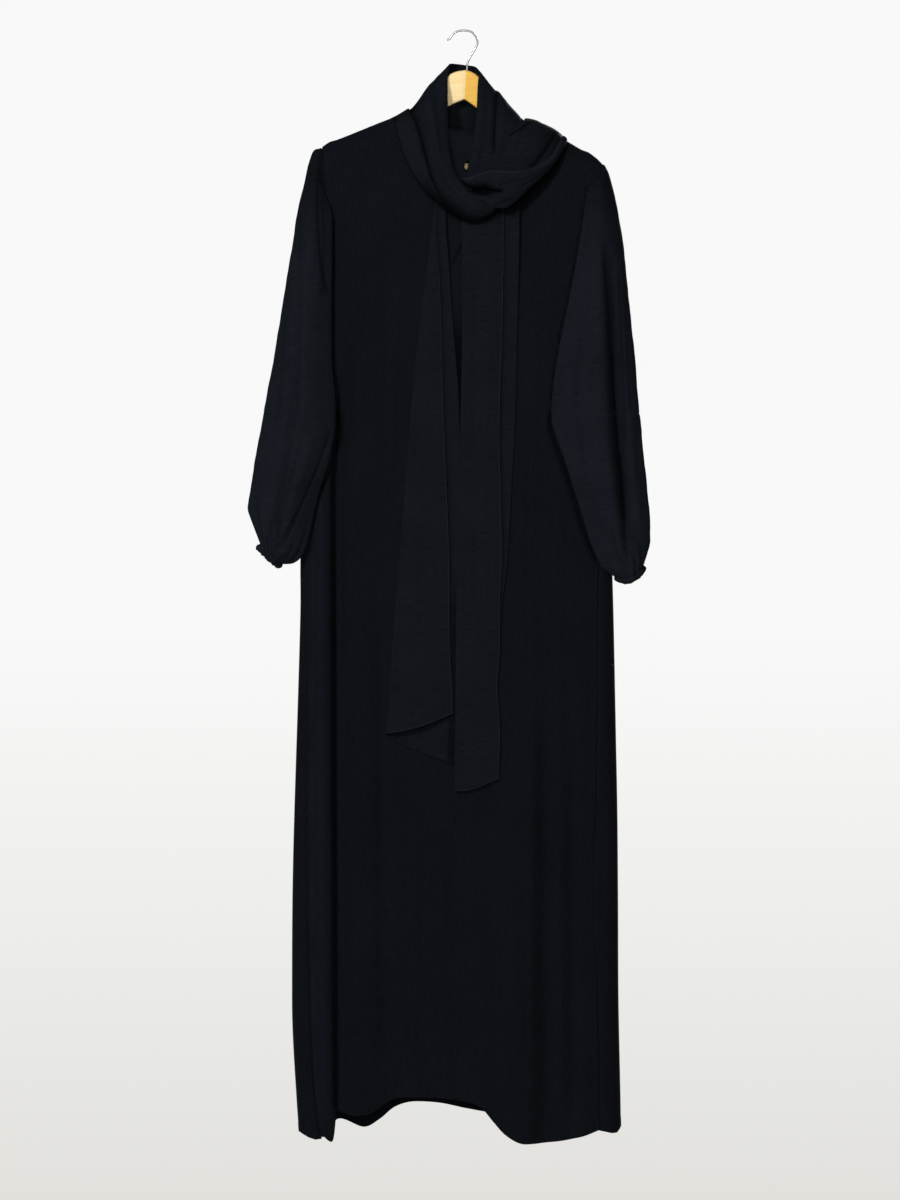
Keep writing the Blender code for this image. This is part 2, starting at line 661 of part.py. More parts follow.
def main():
    for item in list(bpy.data.objects):
        bpy.data.objects.remove(item)
    garment = bpy.data.collections.new("abaya_on_hanger")
    helpers = bpy.data.collections.new("cutters")
    helpers.hide_render = True
    for found in (garment, helpers):
        bpy.context.scene.collection.children.link(found)
    cloth("front_panel", front_panel(), garment)
    cloth("back_panel", back_panel(), garment)
    for name in SLEEVES:
        cloth("sleeve_" + name, sleeve(name), garment)
        cloth("cuff_" + name, cuff(name), garment)
        cloth("tail_" + name, tail(name), garment)
    for name, (start, end) in LOOP_CUTS.items():
        cloth(name, band(LOOP, start, end, 2 * math.ceil(end - start) + 1, 9), garment)
    cloth("scarf_flap", band(FLAP, 0, 6, 13, 9), garment)
    cloth("scarf_shoulder", band(SHOULDER_BUNCH, 0, 9, 19, 9), garment)
    hanger(garment, helpers)


if __name__ == "__main__":
    main()
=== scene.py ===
"""Dresses the plain solids of a hanging abaya and its wound scarf in creased black crepe.

Each piece of cloth is a thin wall on its solid's own form, from the same tables in
millimetres, with the creases, gathers and hems that the solids leave out.
"""

import math

import bpy
import numpy as np
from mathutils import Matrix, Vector


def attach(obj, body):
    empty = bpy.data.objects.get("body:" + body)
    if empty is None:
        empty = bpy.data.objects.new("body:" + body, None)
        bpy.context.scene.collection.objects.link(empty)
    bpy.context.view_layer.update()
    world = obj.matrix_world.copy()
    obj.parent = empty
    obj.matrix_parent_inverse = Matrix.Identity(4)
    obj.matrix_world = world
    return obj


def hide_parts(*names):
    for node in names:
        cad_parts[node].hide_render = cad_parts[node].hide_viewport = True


bl_info = {
    "name": "Hanging Abaya and Scarf",
    "version": (1, 0, 0),
    "blender": (4, 5, 0),
    "location": "3D View > Sidebar > Abaya",
    "description": "Dresses the solids of a hanging abaya in creased crepe",
    "category": "Object",
}

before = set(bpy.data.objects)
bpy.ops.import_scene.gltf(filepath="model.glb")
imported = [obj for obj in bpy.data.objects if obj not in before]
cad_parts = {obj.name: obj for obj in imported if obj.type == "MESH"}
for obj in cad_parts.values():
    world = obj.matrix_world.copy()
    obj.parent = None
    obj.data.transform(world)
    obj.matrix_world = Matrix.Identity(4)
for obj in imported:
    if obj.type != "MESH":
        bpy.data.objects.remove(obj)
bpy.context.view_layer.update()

MM = 0.001
SEAM = -0.06  # the pieces' edges meet in their seams
REST = 1.1  # cloth to the cloth or wood that it lies on, middle to middle
RIDE = 1.2  # the shoulder seam above the arms
CASING = 1.3  # the elastic casing's wall
SCARF_HEM = 0.003  # metres, the depth of the scarf's turned edges
# How far the stitches stand from the middle of the cloth that they hold
PANEL_STITCH = 0.62
SCARF_STITCH = 0.95
CUFF_STITCH = 0.7

HANGER_TOP = (-2.0, -65.5)
HANGER_TILT = math.radians(3.0)
ARM_SWEEP = math.tan(math.radians(8.0))
ARM_HALF = 200.0
MITRE_SHIFT = 3.0  # how far right of the middle the arms meet
WOOD_HALF = 5.5
BAR_DROP = 139.0
BAR_RADIUS = 5.3
BAR_HALF = 180.0
BAR_DEPTH = -24.0
HOOK_RADIUS = 1.5
ARM_TOP = [(0, 0), (15, -4), (35, -20), (62, -45), (102, -75), (160, -102.5), (190, -118), (217, -137)]
WOOD_TOP = [
    (0, 7.5), (10, 5.5), (22, 1.2), (35, -14), (62, -47), (102, -78), (160, -102.5), (190, -118),
    (217, -137),
]  # fmt: skip
ARM_BOTTOM = [(0, -37), (21, -48.5), (100, -98), (160, -131), (186, -150), (206, -152)]
HOOK = [
    # x, height: the wire from inside the wood to its tip
    (2.7, -69.5), (3.0, -60), (3.4, -50), (7.5, -39), (15.5, -26), (19, -17), (17, -8.5),
    (10.5, -1), (1, 1.5), (-10.5, 0.6), (-18.5, -4.5), (-23, -11), (-27, -12.3),
]  # fmt: skip

SHOULDER_ROUND = 36.0
NECK_HALF = 84.0
NECK_FRONT = 166.0
NECK_BACK = 22.0
UNDERARM = -575.0


def table(columns, *rows):
    """Rows of numbers as named columns; the first column is what the others are read by."""
    values = np.array(rows, float)
    values = values[np.argsort(values[:, 0])]
    return {name: values[:, i] for i, name in enumerate(columns.split())}


# The body, by height: the armholes' and side seams' x, how far out the back panel's turns
# reach, and the depths (y) of the front panel, of its edges, of the back panel's edges and
# of the back panel.
BODY = table(
    "height seam_left seam_right out_left out_right front front_edge back_edge back",
    (-182, -214, 207, -214, 207, -44, -42, -18, 12),
    (-250, -208, 205, -209, 206, -47, -46, -8, 15),
    (-400, -204, 203, -205, 205, -47, -47, -4, 20),
    (-520, -204, 204, -206, 206, -47, -46, -12, 22),
    (-575, -206, 205, -214, 210, -47, -44, -42, 22),
    (-650, -219, 205, -231, 215, -48, -44, -44, 22),
    (-770, -240, 201, -246, 220, -49, -46, -46, 22),
    (-870, -239, 198, -247, 223, -50, -46, -46, 23),
    (-1010, -237, 197, -251, 226, -50, -46, -46, 24),
    (-1160, -237, 195, -256, 229, -51, -46, -46, 25),
    (-1285, -236, 191, -259, 230, -52, -47, -47, 26),
    (-1460, -232, 198, -260, 231, -54, -48, -48, 28),
    (-1610, -223, 200, -253, 234, -55, -49, -49, 30),
    (-1680, -213, 202, -248, 235, -55, -49, -49, 30),
)
PLEAT = table(
    "height x depth",
    (-180, -186, 0),
    (-480, -189, 0),
    (-575, -192, 9),
    (-700, -197, 20),
    (-1010, -196, 24),
    (-1300, -195, 22),
    (-1680, -193, 20),
)
PLEAT_HALF = 7.0
FRONT_HEM = table(
    "x height",
    (-213, -1661), (-205, -1667), (-198, -1664), (-192, -1622), (-167, -1630), (-142, -1627),
    (-110, -1606), (-68, -1602), (-8, -1607), (25, -1618), (42, -1638), (60, -1658),
    (90, -1672), (130, -1669), (175, -1661), (202, -1651),
)  # fmt: skip
BACK_HEM = table(
    "x height",
    (-250, -1655), (-228, -1666), (-212, -1661), (-190, -1640), (-153, -1653), (-128, -1640),
    (-105, -1622), (-75, -1614), (-35, -1617), (0, -1624), (60, -1636), (130, -1650),
    (200, -1652), (225, -1657), (236, -1645),
)  # fmt: skip
FRONT_FOLDS = [
    # x_top, x_foot, top, foot, half, depth
    (-150, -128, -700, -1700, 26, 6),
    (-60, -62, -1120, -1700, 40, -4),
    (118, 119, -960, -1700, 15, 10),
    (158, 160, -1000, -1700, 13, 6),
    (62, 78, -1250, -1700, 34, -6),
    (-168, -170, -420, -800, 12, 3),
]
BACK_FOLDS = [
    # x_top, x_foot, top, foot, half, depth
    (-150, -165, -500, -1700, 22, -8),
    (-92, -100, -650, -1700, 28, 5),
    (-40, -36, -420, -1700, 26, -7),
    (36, 44, -520, -1700, 24, -8),
    (95, 108, -700, -1700, 28, 5),
    (150, 160, -560, -1700, 22, -8),
]
SLEEVES = {
    "left": table(
        "height rise inner outer rear front back",
        (-179.5, 1.5, -211.5, -217.5, -45, -44, -25),
        (-197, 13, -212, -228.5, -45, -45, -19),
        (-206, 12, -209, -232.5, -47, -49, -12),
        (-219, 11, -206, -236.5, -49, -53, -8),
        (-239, 8, -203, -241, -50, -58, -6),
        (-262, 5, -200.5, -248, -51, -64, -5),
        (-320, 2, -199, -258, -54, -75, -5),
        (-410, 0, -200, -273, -55, -84, -6),
        (-485, 0, -200, -285, -55, -88, -8),
        (-572, 0, -194, -301, -55, -92, -16),
        (-590, 0, -194, -304, -55, -93, -19),
        (-634, 0, -201, -312, -55, -94, -26),
        (-690, 0, -217, -321, -55, -95, -34),
        (-730, 0, -230, -325, -54, -93, -40),
        (-755, 0, -241, -323, -54, -90, -43),
        (-774, 0, -256, -315, -54, -87, -46),
        (-787, 0, -273, -306, -54, -84, -50),
    ),
    "right": table(
        "height rise inner outer rear front back",
        (-204.5, 2, 205, 209, -45, -44, -25),
        (-219, 11, 203, 212, -45, -45, -19),
        (-229, 12.5, 195, 216, -47, -49, -12),
        (-240, 11, 187, 220, -49, -53, -8),
        (-258, 8, 182, 225, -50, -58, -6),
        (-285, 5, 177.5, 231, -52, -65, -5),
        (-330, 2, 170.5, 238, -54, -75, -5),
        (-410, 0, 155.5, 246, -55, -84, -6),
        (-485, 0, 140.5, 254, -55, -88, -8),
        (-572, 0, 130.5, 261, -55, -91, -16),
        (-590, 0, 131, 263, -55, -92, -19),
        (-634, 0, 146, 267, -55, -93, -26),
        (-694, 0, 165, 273, -55, -94, -34),
        (-740, 0, 180, 277, -54, -92, -40),
        (-775, 0, 194, 277, -54, -89, -43),
        (-797, 0, 207, 273, -54, -87, -46),
        (-814, 0, 224, 266, -54, -84, -49),
    ),
}
SLEEVE_FOLDS = {
    "left": table(
        "height x half depth",
        (-240, -239, 8, 0),
        (-420, -247, 9, 4),
        (-640, -262, 10, 7),
        (-787, -292, 8, 2),
    ),
    "right": table(
        "height x half depth",
        (-300, 211, 9, 0),
        (-420, 222, 10, 12),
        (-560, 226, 10, 18),
        (-720, 238, 9, 14),
        (-814, 247, 6, 2),
    ),
}
WRIST_LEAN = {"left": (-0.95, 0.1), "right": (0.45, 0.5)}
WRIST_TOP = 90.0
CUFF_LENGTH = 9.0
CUFF_SWELL = 2.0
GATHER_SEEDS = {"left": 14, "right": 29}

LOOP = table(
    "t x0 y0 z0 x1 y1 z1 bulge",
    (0, -2, -54, -234, 32, -55, -246, 2),
    (1, 5, -50, -207, 53, -53, -226, 3),
    (2, 12, -42, -170, 72, -51, -198, 6),
    (3, 18, -30, -120, 82, -47, -156, 7),
    (4, 20, -15, -78, 84, -19, -133, 3),
    (4.5, 22, -7, -63, 85, -7, -135, 0.5),
    (5, 20, 2, -58, 82, 4, -134, 0),
    (6, 14, 14, -52, 62, 24, -152, 3),
    (7, 1, 17, -50, 1, 27, -172, 5),
    (8, -12, 14, -48.5, -66, 24, -152, 3),
    (9, -21, 2, -49, -98, 4, -131, 0),
    (9.5, -23.5, -7, -52, -103, -9, -132, 0.5),
    (10, -27, -15, -76, -104, -25, -134, 4),
    (11, -27, -30, -114, -99, -54, -160, 10),
    (12, -24.5, -46, -165, -86, -58, -200, 13),
    (13, -17, -58, -212, -60, -62, -240, 13),
    (14, 0, -67, -240, -24, -63, -271, 13),
    (15, 22, -71, -258, 10, -62, -289, 11),
    (16, 40, -65, -266, 34, -60, -280, 6),
    (17, 50, -61, -262, 50, -59, -264, 0.5),
)
FLAP = table(
    "t x0 y0 z0 x1 y1 z1 bulge",
    (0, -7, -62, -226, -4, -61, -246, 3),
    (1, 12, -71, -222, 24, -66, -264, 5),
    (2, 46, -75, -213.5, 57, -71, -270, 8),
    (3, 83, -74, -214.5, 96, -68, -240, 9),
    (4, 119, -65, -200, 124, -57, -212, 7),
    (5, 137, -52, -178, 144, -49, -186, 5),
    (6, 147, -33, -160, 152, -28, -167, 3),
)
SHOULDER_BUNCH = table(
    "t x0 y0 z0 x1 y1 z1 bulge",
    (0, 46, -57, -222, 92, -60, -224, 1),
    (1, 60, -60, -184, 116, -61.6, -211, 4),
    (2, 72, -58.5, -154, 135, -54, -189, 7),
    (3, 88, -38, -138, 144, -34, -166, 7),
    (4, 90, -8, -133, 148, -6, -162, 7),
    (5, 88, 18, -138, 144, 20, -172, 8),
    (6, 66, 34, -158, 116, 34, -212, 8),
    (7, 4, 37, -168, 20, 38, -240, 8),
    (8, -60, 34, -162, -66, 36, -228, 7),
    (9, -98, 22, -150, -112, 22, -182, 5),
)
TAILS = {
    "left": table(
        "height left front_right back_right",
        (-250, -43, -43.5, -30),
        (-300, -50, -43.5, -28.5),
        (-350, -56, -39.5, -24.5),
        (-440, -67.5, -35.5, -18),
        (-560, -80, -32.5, -9),
        (-680, -89.5, -27.5, -8),
        (-800, -99, -23, -9),
        (-930, -109.5, -22, -10),
        (-990, -113.5, -18.5, -11),
        (-1060, -119, -17.5, -13),
    ),
    "right": table(
        "height left front_right back_right",
        (-250, -4.5, 58.5, 82),
        (-350, -4.8, 58, 81),
        (-450, -4.5, 56.5, 78.5),
        (-600, -7, 52, 75),
        (-676, -8.7, 53.5, 70.5),
        (-796, -11.3, 56, 64),
        (-860, -12.9, 52.5, 56.5),
        (-930, -13.5, 52.5, 52),
        (-980, -14, 49, 50),
        (-1060, -15, 53, 49),
        (-1120, -16, 50.5, 47),
        (-1146, -16, 50, 46),
    ),
}
TAIL_HEMS = {"left": (-1027, -1057, -1104), "right": (-1124, -1142, -1128)}
TAIL_SAG = 8.0
TAIL_LIFT = 5.0
PUFF = table(
    "x rise",
    (-214, 5), (-205, 5.5), (-190, 3), (-120, 2), (-60, 0), (60, 0), (110, 5), (150, 7.5), (172, 7),
    (190, 10.5), (198, 10.5), (207, 8.5), (212, 8),
)  # fmt: skip
JOIN = {"left": (-225, -280), "right": (-215, -250)}
HEM_LIFT = {"left": 7.0, "right": 1.0}
TAIL_SETTLE = (-270.0, -470.0)
TAIL_LAYERS = (1.9, 4.6)

# What the solids leave out. A crease: its half width, its depth (a ridge where negative), how
# sharp its bottom is (2 round, 1 sharp), and its places, by height and x, or along and across.
FRONT_CREASES = [
    (3.2, 2.4, 1.3, [(-586, -180), (-760, -181), (-930, -183), (-1096, -188)]),
    (6.0, -1.6, 2.0, [(-560, -170), (-800, -171), (-1060, -175)]),
    (4.5, 1.8, 1.5, [(-406, -172), (-640, -171), (-1006, -170)]),
    (7.0, 2.6, 1.6, [(-800, -136), (-1100, -131), (-1640, -126)]),
    (9.0, -2.2, 2.0, [(-860, -112), (-1200, -108), (-1640, -104)]),
    (7.0, 0.8, 2.0, [(-1120, -62), (-1350, -66), (-1640, -70)]),
    (8.0, 0.8, 2.0, [(-1180, -24), (-1400, -20), (-1640, -16)]),
    (6.0, 0.8, 1.8, [(-1230, 34), (-1420, 38), (-1650, 44)]),
    (5.0, 2.6, 1.4, [(-980, 117), (-1300, 119), (-1690, 121)]),
    (6.0, -1.7, 2.0, [(-700, 104), (-1100, 103), (-1690, 101)]),
    (4.2, 2.0, 1.4, [(-1020, 160), (-1400, 160), (-1690, 162)]),
    (6.0, -1.6, 2.0, [(-600, 140), (-1000, 141), (-1690, 140)]),
    (3.4, 1.0, 1.5, [(-330, 118), (-560, 112), (-800, 116)]),
    (3.2, 1.1, 1.4, [(-240, -128), (-420, -120), (-640, -124)]),
    (5.0, -1.1, 2.0, [(-300, -96), (-500, -104), (-700, -112)]),
    (3.0, 1.0, 1.4, [(-620, 96), (-800, 92), (-990, 95)]),
    (5.0, 0.6, 1.8, [(-1180, 84), (-1380, 86), (-1600, 92)]),
    (5.6, 0.6, 1.8, [(-1200, -88), (-1390, -90), (-1600, -86)]),
]
BACK_CREASES = [
    (4.0, 2.2, 1.4, [(-420, -168), (-800, -176), (-1200, -178)]),
    (6.0, -1.8, 2.0, [(-380, -120), (-760, -126), (-1300, -134)]),
    (4.4, 1.8, 1.4, [(-600, -62), (-1000, -66), (-1600, -70)]),
    (3.6, 1.3, 1.4, [(-260, -20), (-520, -10), (-900, -14)]),
    (5.0, 2.2, 1.5, [(-700, 4), (-1100, 2), (-1640, 6)]),
    (4.0, 1.6, 1.4, [(-300, 66), (-620, 70), (-960, 74)]),
    (6.0, -1.8, 2.0, [(-520, 112), (-1000, 124), (-1640, 128)]),
    (4.0, 2.4, 1.4, [(-480, 176), (-900, 182), (-1500, 190)]),
    (3.4, 1.4, 1.3, [(-1050, -196), (-1350, -200), (-1620, -204)]),
    (3.4, 1.4, 1.3, [(-1150, 62), (-1400, 66), (-1620, 68)]),
]
SLEEVE_CREASES = {
    "left": [
        (2.6, 3.2, 1.2, [(-225, -222), (-280, -220), (-330, -217), (-365, -213), (-392, -206), (-418, -199)]),
        (4.0, -1.6, 2.0, [(-200, -231), (-250, -236), (-330, -239), (-440, -241)]),
        (4.0, 1.2, 1.5, [(-556, -231), (-637, -250), (-700, -267), (-780, -284)]),
        (2.4, 2.8, 1.2, [(-590, -200), (-633, -212), (-669, -225), (-708, -242.5), (-747, -263.5), (-786, -285)]),
        (5.0, -2.2, 2.0, [(-680, -302), (-720, -306), (-775, -303)]),
        (6.0, -1.5, 2.0, [(-270, -238), (-400, -240), (-560, -243)]),
        (4.0, 1.3, 1.4, [(-330, -262), (-480, -272), (-640, -285)]),
        (5.0, 1.8, 1.6, [(-240, -214), (-330, -210), (-430, -213)]),
        (3.0, 2.0, 1.3, [(-730, -286), (-760, -291), (-786, -296)]),
        (6.0, -1.6, 2.0, [(-600, -222), (-680, -247), (-750, -272)]),
    ],
    "right": [
        (3.0, 3.4, 1.2, [(-285, 203), (-340, 208.5), (-406, 212.5), (-513, 219.5), (-583, 225),
            (-655, 231.5), (-709, 236), (-750, 239.5), (-800, 244)]),
        (2.4, 2.4, 1.3, [(-350, 229), (-406, 232.5), (-460, 234), (-548, 237.5), (-605, 239), (-650, 236)]),
        (5.5, -2.6, 2.0, [(-560, 246), (-690, 256), (-760, 262)]),
        (4.0, 1.6, 1.4, [(-360, 236), (-480, 243), (-640, 251)]),
        (6.0, -1.6, 2.0, [(-320, 196), (-450, 186), (-600, 178)]),
        (5.0, 0.9, 1.8, [(-420, 180), (-560, 165), (-700, 186)]),
        (3.0, 2.0, 1.3, [(-735, 216), (-770, 226), (-800, 240)]),
        (3.0, 1.6, 1.3, [(-745, 252), (-775, 252), (-806, 252)]),
    ],
}
SLEEVE_BACK_CREASES = {
    "left": [
        (5.0, 2.2, 1.5, [(-300, -224), (-480, -236), (-700, -272)]),
        (6.0, -2.0, 2.0, [(-360, -244), (-560, -262), (-760, -296)]),
        (4.0, 1.8, 1.4, [(-520, -280), (-640, -296), (-770, -304)]),
    ],
    "right": [
        (5.0, 2.2, 1.5, [(-330, 214), (-500, 222), (-720, 236)]),
        (6.0, -2.0, 2.0, [(-380, 232), (-560, 240), (-760, 252)]),
        (4.0, 1.8, 1.4, [(-540, 250), (-660, 258), (-790, 262)]),
    ],
}
# Along the scarf's bands: half width in the share across, depth in millimetres, sharpness.
LOOP_CREASES = [
    (0.22, 7.0, 2.0, [(8.3, 0.72), (9.2, 0.73), (10.0, 0.73), (10.7, 0.72)]),
    (0.09, -1.2, 2.0, [(10, 0.5), (11.2, 0.46), (12.4, 0.42), (13.6, 0.55)]),
    (0.07, 0.9, 1.8, [(9.2, 0.3), (10.4, 0.26), (11.6, 0.22), (12.8, 0.2)]),
    (0.06, 1.2, 1.6, [(12.6, 0.32), (13.6, 0.40), (14.6, 0.48), (15.8, 0.5)]),
    (0.08, -1.6, 2.0, [(1.6, 0.66), (3, 0.6), (4.6, 0.55)]),
    (0.05, 1.4, 1.4, [(0.6, 0.3), (1.8, 0.24), (3.2, 0.18), (4.2, 0.16)]),
    (0.05, 1.8, 1.3, [(5.2, 0.62), (6.4, 0.55), (7.4, 0.6), (8.6, 0.52)]),
    (0.06, 2.0, 1.4, [(5.6, 0.28), (6.8, 0.32), (8.0, 0.26)]),
    (0.07, -1.5, 2.0, [(5.4, 0.44), (6.8, 0.42), (8.4, 0.4)]),
]
# Where cloth laps over itself: how far the upper fold reaches (to the left where negative), its
# rise in millimetres, and the places of its edge.
LOOP_LAPS = [
    (0.35, 5.0, [(9.7, 0.80), (10.3, 0.74), (11, 0.66), (12, 0.62), (13, 0.72), (14.2, 0.97)]),
    (0.30, 3.2, [(1.7, 0.56), (3, 0.44), (4.3, 0.40), (5.0, 0.38)]),
]
BUNCH_LAPS = [(0.45, 4.5, [(0.5, 0.80), (1.2, 0.79), (2.3, 0.80), (3.3, 0.86)])]
POUCH = [
    (0.2, 1.0, 3.0, [(-0.9, 0.14), (0.0, 0.24), (0.35, 0.36), (0.8, 0.43), (1.3, 0.45), (1.95, 0.49)]),
    (0.05, 1.0, 2.0, [(0.9, 0.48), (1.4, 0.48), (1.75, 0.51), (2.2, 0.56)]),
]
FLAP_CREASES = [
    (0.05, 1.5, 1.4, [(1.8, 0.32), (2.8, 0.4), (3.8, 0.5)]),
    (0.06, 1.6, 1.4, [(2.6, 0.7), (3.5, 0.66), (4.6, 0.6)]),
    (0.06, -1.4, 2.0, [(1.6, 0.2), (2.8, 0.22), (4.4, 0.3)]),
]
BUNCH_CREASES = [
    (0.06, 0.9, 1.6, [(1.2, 0.18), (2.2, 0.16), (3.4, 0.22)]),
    (0.12, -1.2, 2.0, [(0.8, 0.55), (2.0, 0.5), (3.6, 0.48)]),
    (0.05, 1.8, 1.4, [(3.2, 0.42), (4.4, 0.36), (5.6, 0.4)]),
    (0.06, 2.2, 1.4, [(4.6, 0.7), (6.0, 0.64), (7.4, 0.6)]),
    (0.06, 2.2, 1.4, [(5.8, 0.3), (7.0, 0.34), (8.4, 0.4)]),
    (0.07, -1.8, 2.0, [(5.4, 0.5), (6.8, 0.48), (8.2, 0.52)]),
]
TAIL_CREASES = {
    "left": [
        (5.0, -0.9, 2.0, [(-300, -48), (-600, -62), (-1000, -80)]),
        (3.4, 0.9, 1.4, [(-420, -56), (-700, -66), (-960, -72)]),
        (3.0, 0.7, 1.4, [(-620, -84), (-800, -93), (-1020, -104)]),
    ],
    "right": [
        (3.0, 0.8, 1.4, [(-300, 18), (-560, 14), (-860, 16)]),
        (6.0, -0.9, 2.0, [(-260, 36), (-600, 32), (-1080, 30)]),
        (3.0, 0.8, 1.4, [(-640, 4), (-860, 0), (-1100, -2)]),
    ],
}
# The edge of the scarf over the chest, by x and height, and how wide the painted shadow beneath it is.
SCARF_FOOT = [
    (-104, -134, 3), (-93, -174, 3.5), (-78, -208, 4), (-60, -238, 4.5), (-38, -262, 5), (-12, -281,
        5), (8, -288, 5), (28, -284, 7),
    (44, -272, 15), (72, -262, 15), (93, -246, 13), (106, -234, 12), (121, -220, 10), (136, -202,
        8), (144, -187, 6), (151, -173, 4),
]  # fmt: skip
# How far the left of the loop turns in behind its inner edge, across the foot of the neck.
TURN_IN = table(
    "t width",
    (11.68, 0.4), (11.8, 44), (12.0, 42), (12.4, 34), (12.62, 27), (12.75, 20), (13.0, 17), (13.4, 18),
    (13.8, 14), (14.4, 0.4),
)  # fmt: skip
# Shadows (and lights, where below 0) drawn along folds and edges: how wide, how strong, and the
# line's x and height. They lie on the side that faces the viewer.
DRAWN = {
    "scarf_right": [(1.8, 0.85, [(67, -161), (82.5, -151), (93, -143), (107, -139)])],
    "scarf_shoulder": [(1.6, 0.85, [(67, -161), (82.5, -151), (93, -143), (107, -139)])],
    "scarf_flap": [
        (4.2, 1.0, [(2, -238), (10.5, -242.5), (24, -244)]),
        (2.8, 1.0, [(-10, -229), (-3, -232.5), (2, -237)]),
        (2.5, 1.0, [(22.5, -243.5), (37.5, -244), (50, -245.5)]),
        (1.3, 0.6, [(45, -265), (52, -262.5), (60, -259), (70.5, -256)]),
        (1.7, -0.13, [(-4.5, -227), (7.5, -226.5), (19.5, -220), (33, -217), (45, -215.5),
            (72, -217), (94.5, -212), (117, -203), (131, -190), (144, -168)]),
    ],
    "scarf_left": [
        (3.0, -0.04, [(-24, -190), (-16, -214), (-6, -238), (8, -251), (24, -262), (34, -268)]),
        (18, -0.07, [(-50, -90), (-52, -140), (-50, -190)]),
    ],
    "back_panel": [(14, -0.1, [(-18, -112), (-14, -150)])],
    "front_panel": [
        (1.9, 0.8, [(184, -236), (179.5, -262), (173, -307), (162.5, -363), (154.5, -406),
            (145.5, -442), (138, -491), (129.5, -548), (128, -584)]),
        (4.6, 0.8, [(126.5, -578), (128, -600), (136, -625), (150, -662), (168, -722), (184, -768), (197, -795)]),
        (2.2, 0.75, [(-196.5, -282), (-197.5, -330), (-198, -406), (-198, -480), (-196, -540), (-190.5, -575)]),
        (5.5, 0.85, [(-189.5, -578), (-188, -604), (-193, -628)]),
        (2.0, 0.75, [(-198, -652), (-211, -680), (-224, -716), (-231, -750)]),
        (3.0, -0.05, [(-228, -790), (-229, -1000), (-229, -1300), (-224, -1600)]),
        (9.0, -0.03, [(-216, -700), (-217, -1000), (-217, -1300), (-213, -1620)]),
    ],
    "sleeve_left": [
        (1.5, 0.6, [(-203, -604), (-212, -633), (-225, -669), (-242.5, -708), (-263.5, -747), (-280, -776)]),
        (2.2, -0.07, [(-243, -236), (-243.5, -406), (-246, -548), (-255, -619), (-271, -707), (-280, -745)]),
        (1.6, 0.35, [(-246.5, -280), (-247.5, -406), (-250, -548), (-259, -619), (-275, -707), (-283, -740)]),
    ],
    "sleeve_right": [
        (1.7, 0.7, [(209, -350), (212.5, -406), (219.5, -513), (225, -583), (231.5, -655),
            (236, -709), (239.5, -750)]),
        (1.4, 0.5, [(230, -370), (232.5, -406), (234, -460), (237.5, -548), (239, -605)]),
        (3.0, 0.9, [(231, -640), (235, -690), (238, -735)]),
        (2.6, -0.06, [(262, -560), (260, -655), (259, -720), (261, -760)]),
    ],
}


def smooth_line(keys, values, at):
    """A smooth curve through the values, level past both ends."""
    keys, values = np.asarray(keys, float), np.asarray(values, float)
    at = np.clip(at, keys[0], keys[-1])
    rise = np.diff(values) / np.diff(keys)
    slope = np.concatenate([[rise[0]], (rise[1:] + rise[:-1]) / 2, [rise[-1]]])
    turning = np.concatenate([[False], rise[1:] * rise[:-1] <= 0, [False]])
    slope[turning] = 0
    i = np.clip(np.searchsorted(keys, at) - 1, 0, len(keys) - 2)
    step = keys[i + 1] - keys[i]
    t = (at - keys[i]) / step
    return (
        (2 * t**3 - 3 * t**2 + 1) * values[i]
        + (t**3 - 2 * t**2 + t) * step * slope[i]
        + (3 * t**2 - 2 * t**3) * values[i + 1]
        + (t**3 - t**2) * step * slope[i + 1]
    )


def read(rows, column, at):
    """A table's column at a value of its first column."""
    return smooth_line(next(iter(rows.values())), rows[column], at)


def ease(value, low, high):
    """0 at low, 1 at high, and a smooth step between."""
    t = np.clip((value - low) / (high - low), 0, 1)
    return t * t * (3 - 2 * t)


def mix(a, b, t):
    return a + (b - a) * t


def through(keys, count):
    """Points evenly spaced along a smooth open curve through the key points."""
    keys = np.asarray(keys, float)
    ends = np.concatenate([[2 * keys[0] - keys[1]], keys, [2 * keys[-1] - keys[-2]]])
    t = np.linspace(0, 1, 12, endpoint=False)[:, None]
    dense = []
    for a, b, c, d in zip(ends, ends[1:], ends[2:], ends[3:]):
        square, cube = 2 * a - 5 * b + 4 * c - d, 3 * b - a - 3 * c + d
        dense.append(0.5 * (2 * b + (c - a) * t + square * t**2 + cube * t**3))
    dense = np.concatenate(dense + [keys[-1:]])
    along = np.concatenate([[0], np.cumsum(np.linalg.norm(np.diff(dense, axis=0), axis=1))])
    at = np.linspace(0, along[-1], count)
    return np.stack([np.interp(at, along, dense[:, i]) for i in range(dense.shape[1])], axis=-1)


def steps(count, rim=0.0025):
    """Shares from 0 to 1, with one close to each end that keeps the edge crisp."""
    return np.concatenate([[0, rim], np.linspace(3 * rim, 1 - 3 * rim, count), [1 - rim, 1]])


def creases(lines, along, across):
    """Soft troughs, and ridges where the depth is negative, along given lines."""
    total = np.zeros(np.broadcast(along, across).shape)
    for half, depth, sharpness, places in lines:
        places = np.array(sorted(places), float)
        share = (along - places[0, 0]) / (places[-1, 0] - places[0, 0])
        fade = ease(share, 0, 0.2) * (1 - ease(share, 0.8, 1))
        middle = smooth_line(places[:, 0], places[:, 1], along)
        total += depth * fade * np.exp(-(np.abs((across - middle) / half) ** sharpness))
    return total


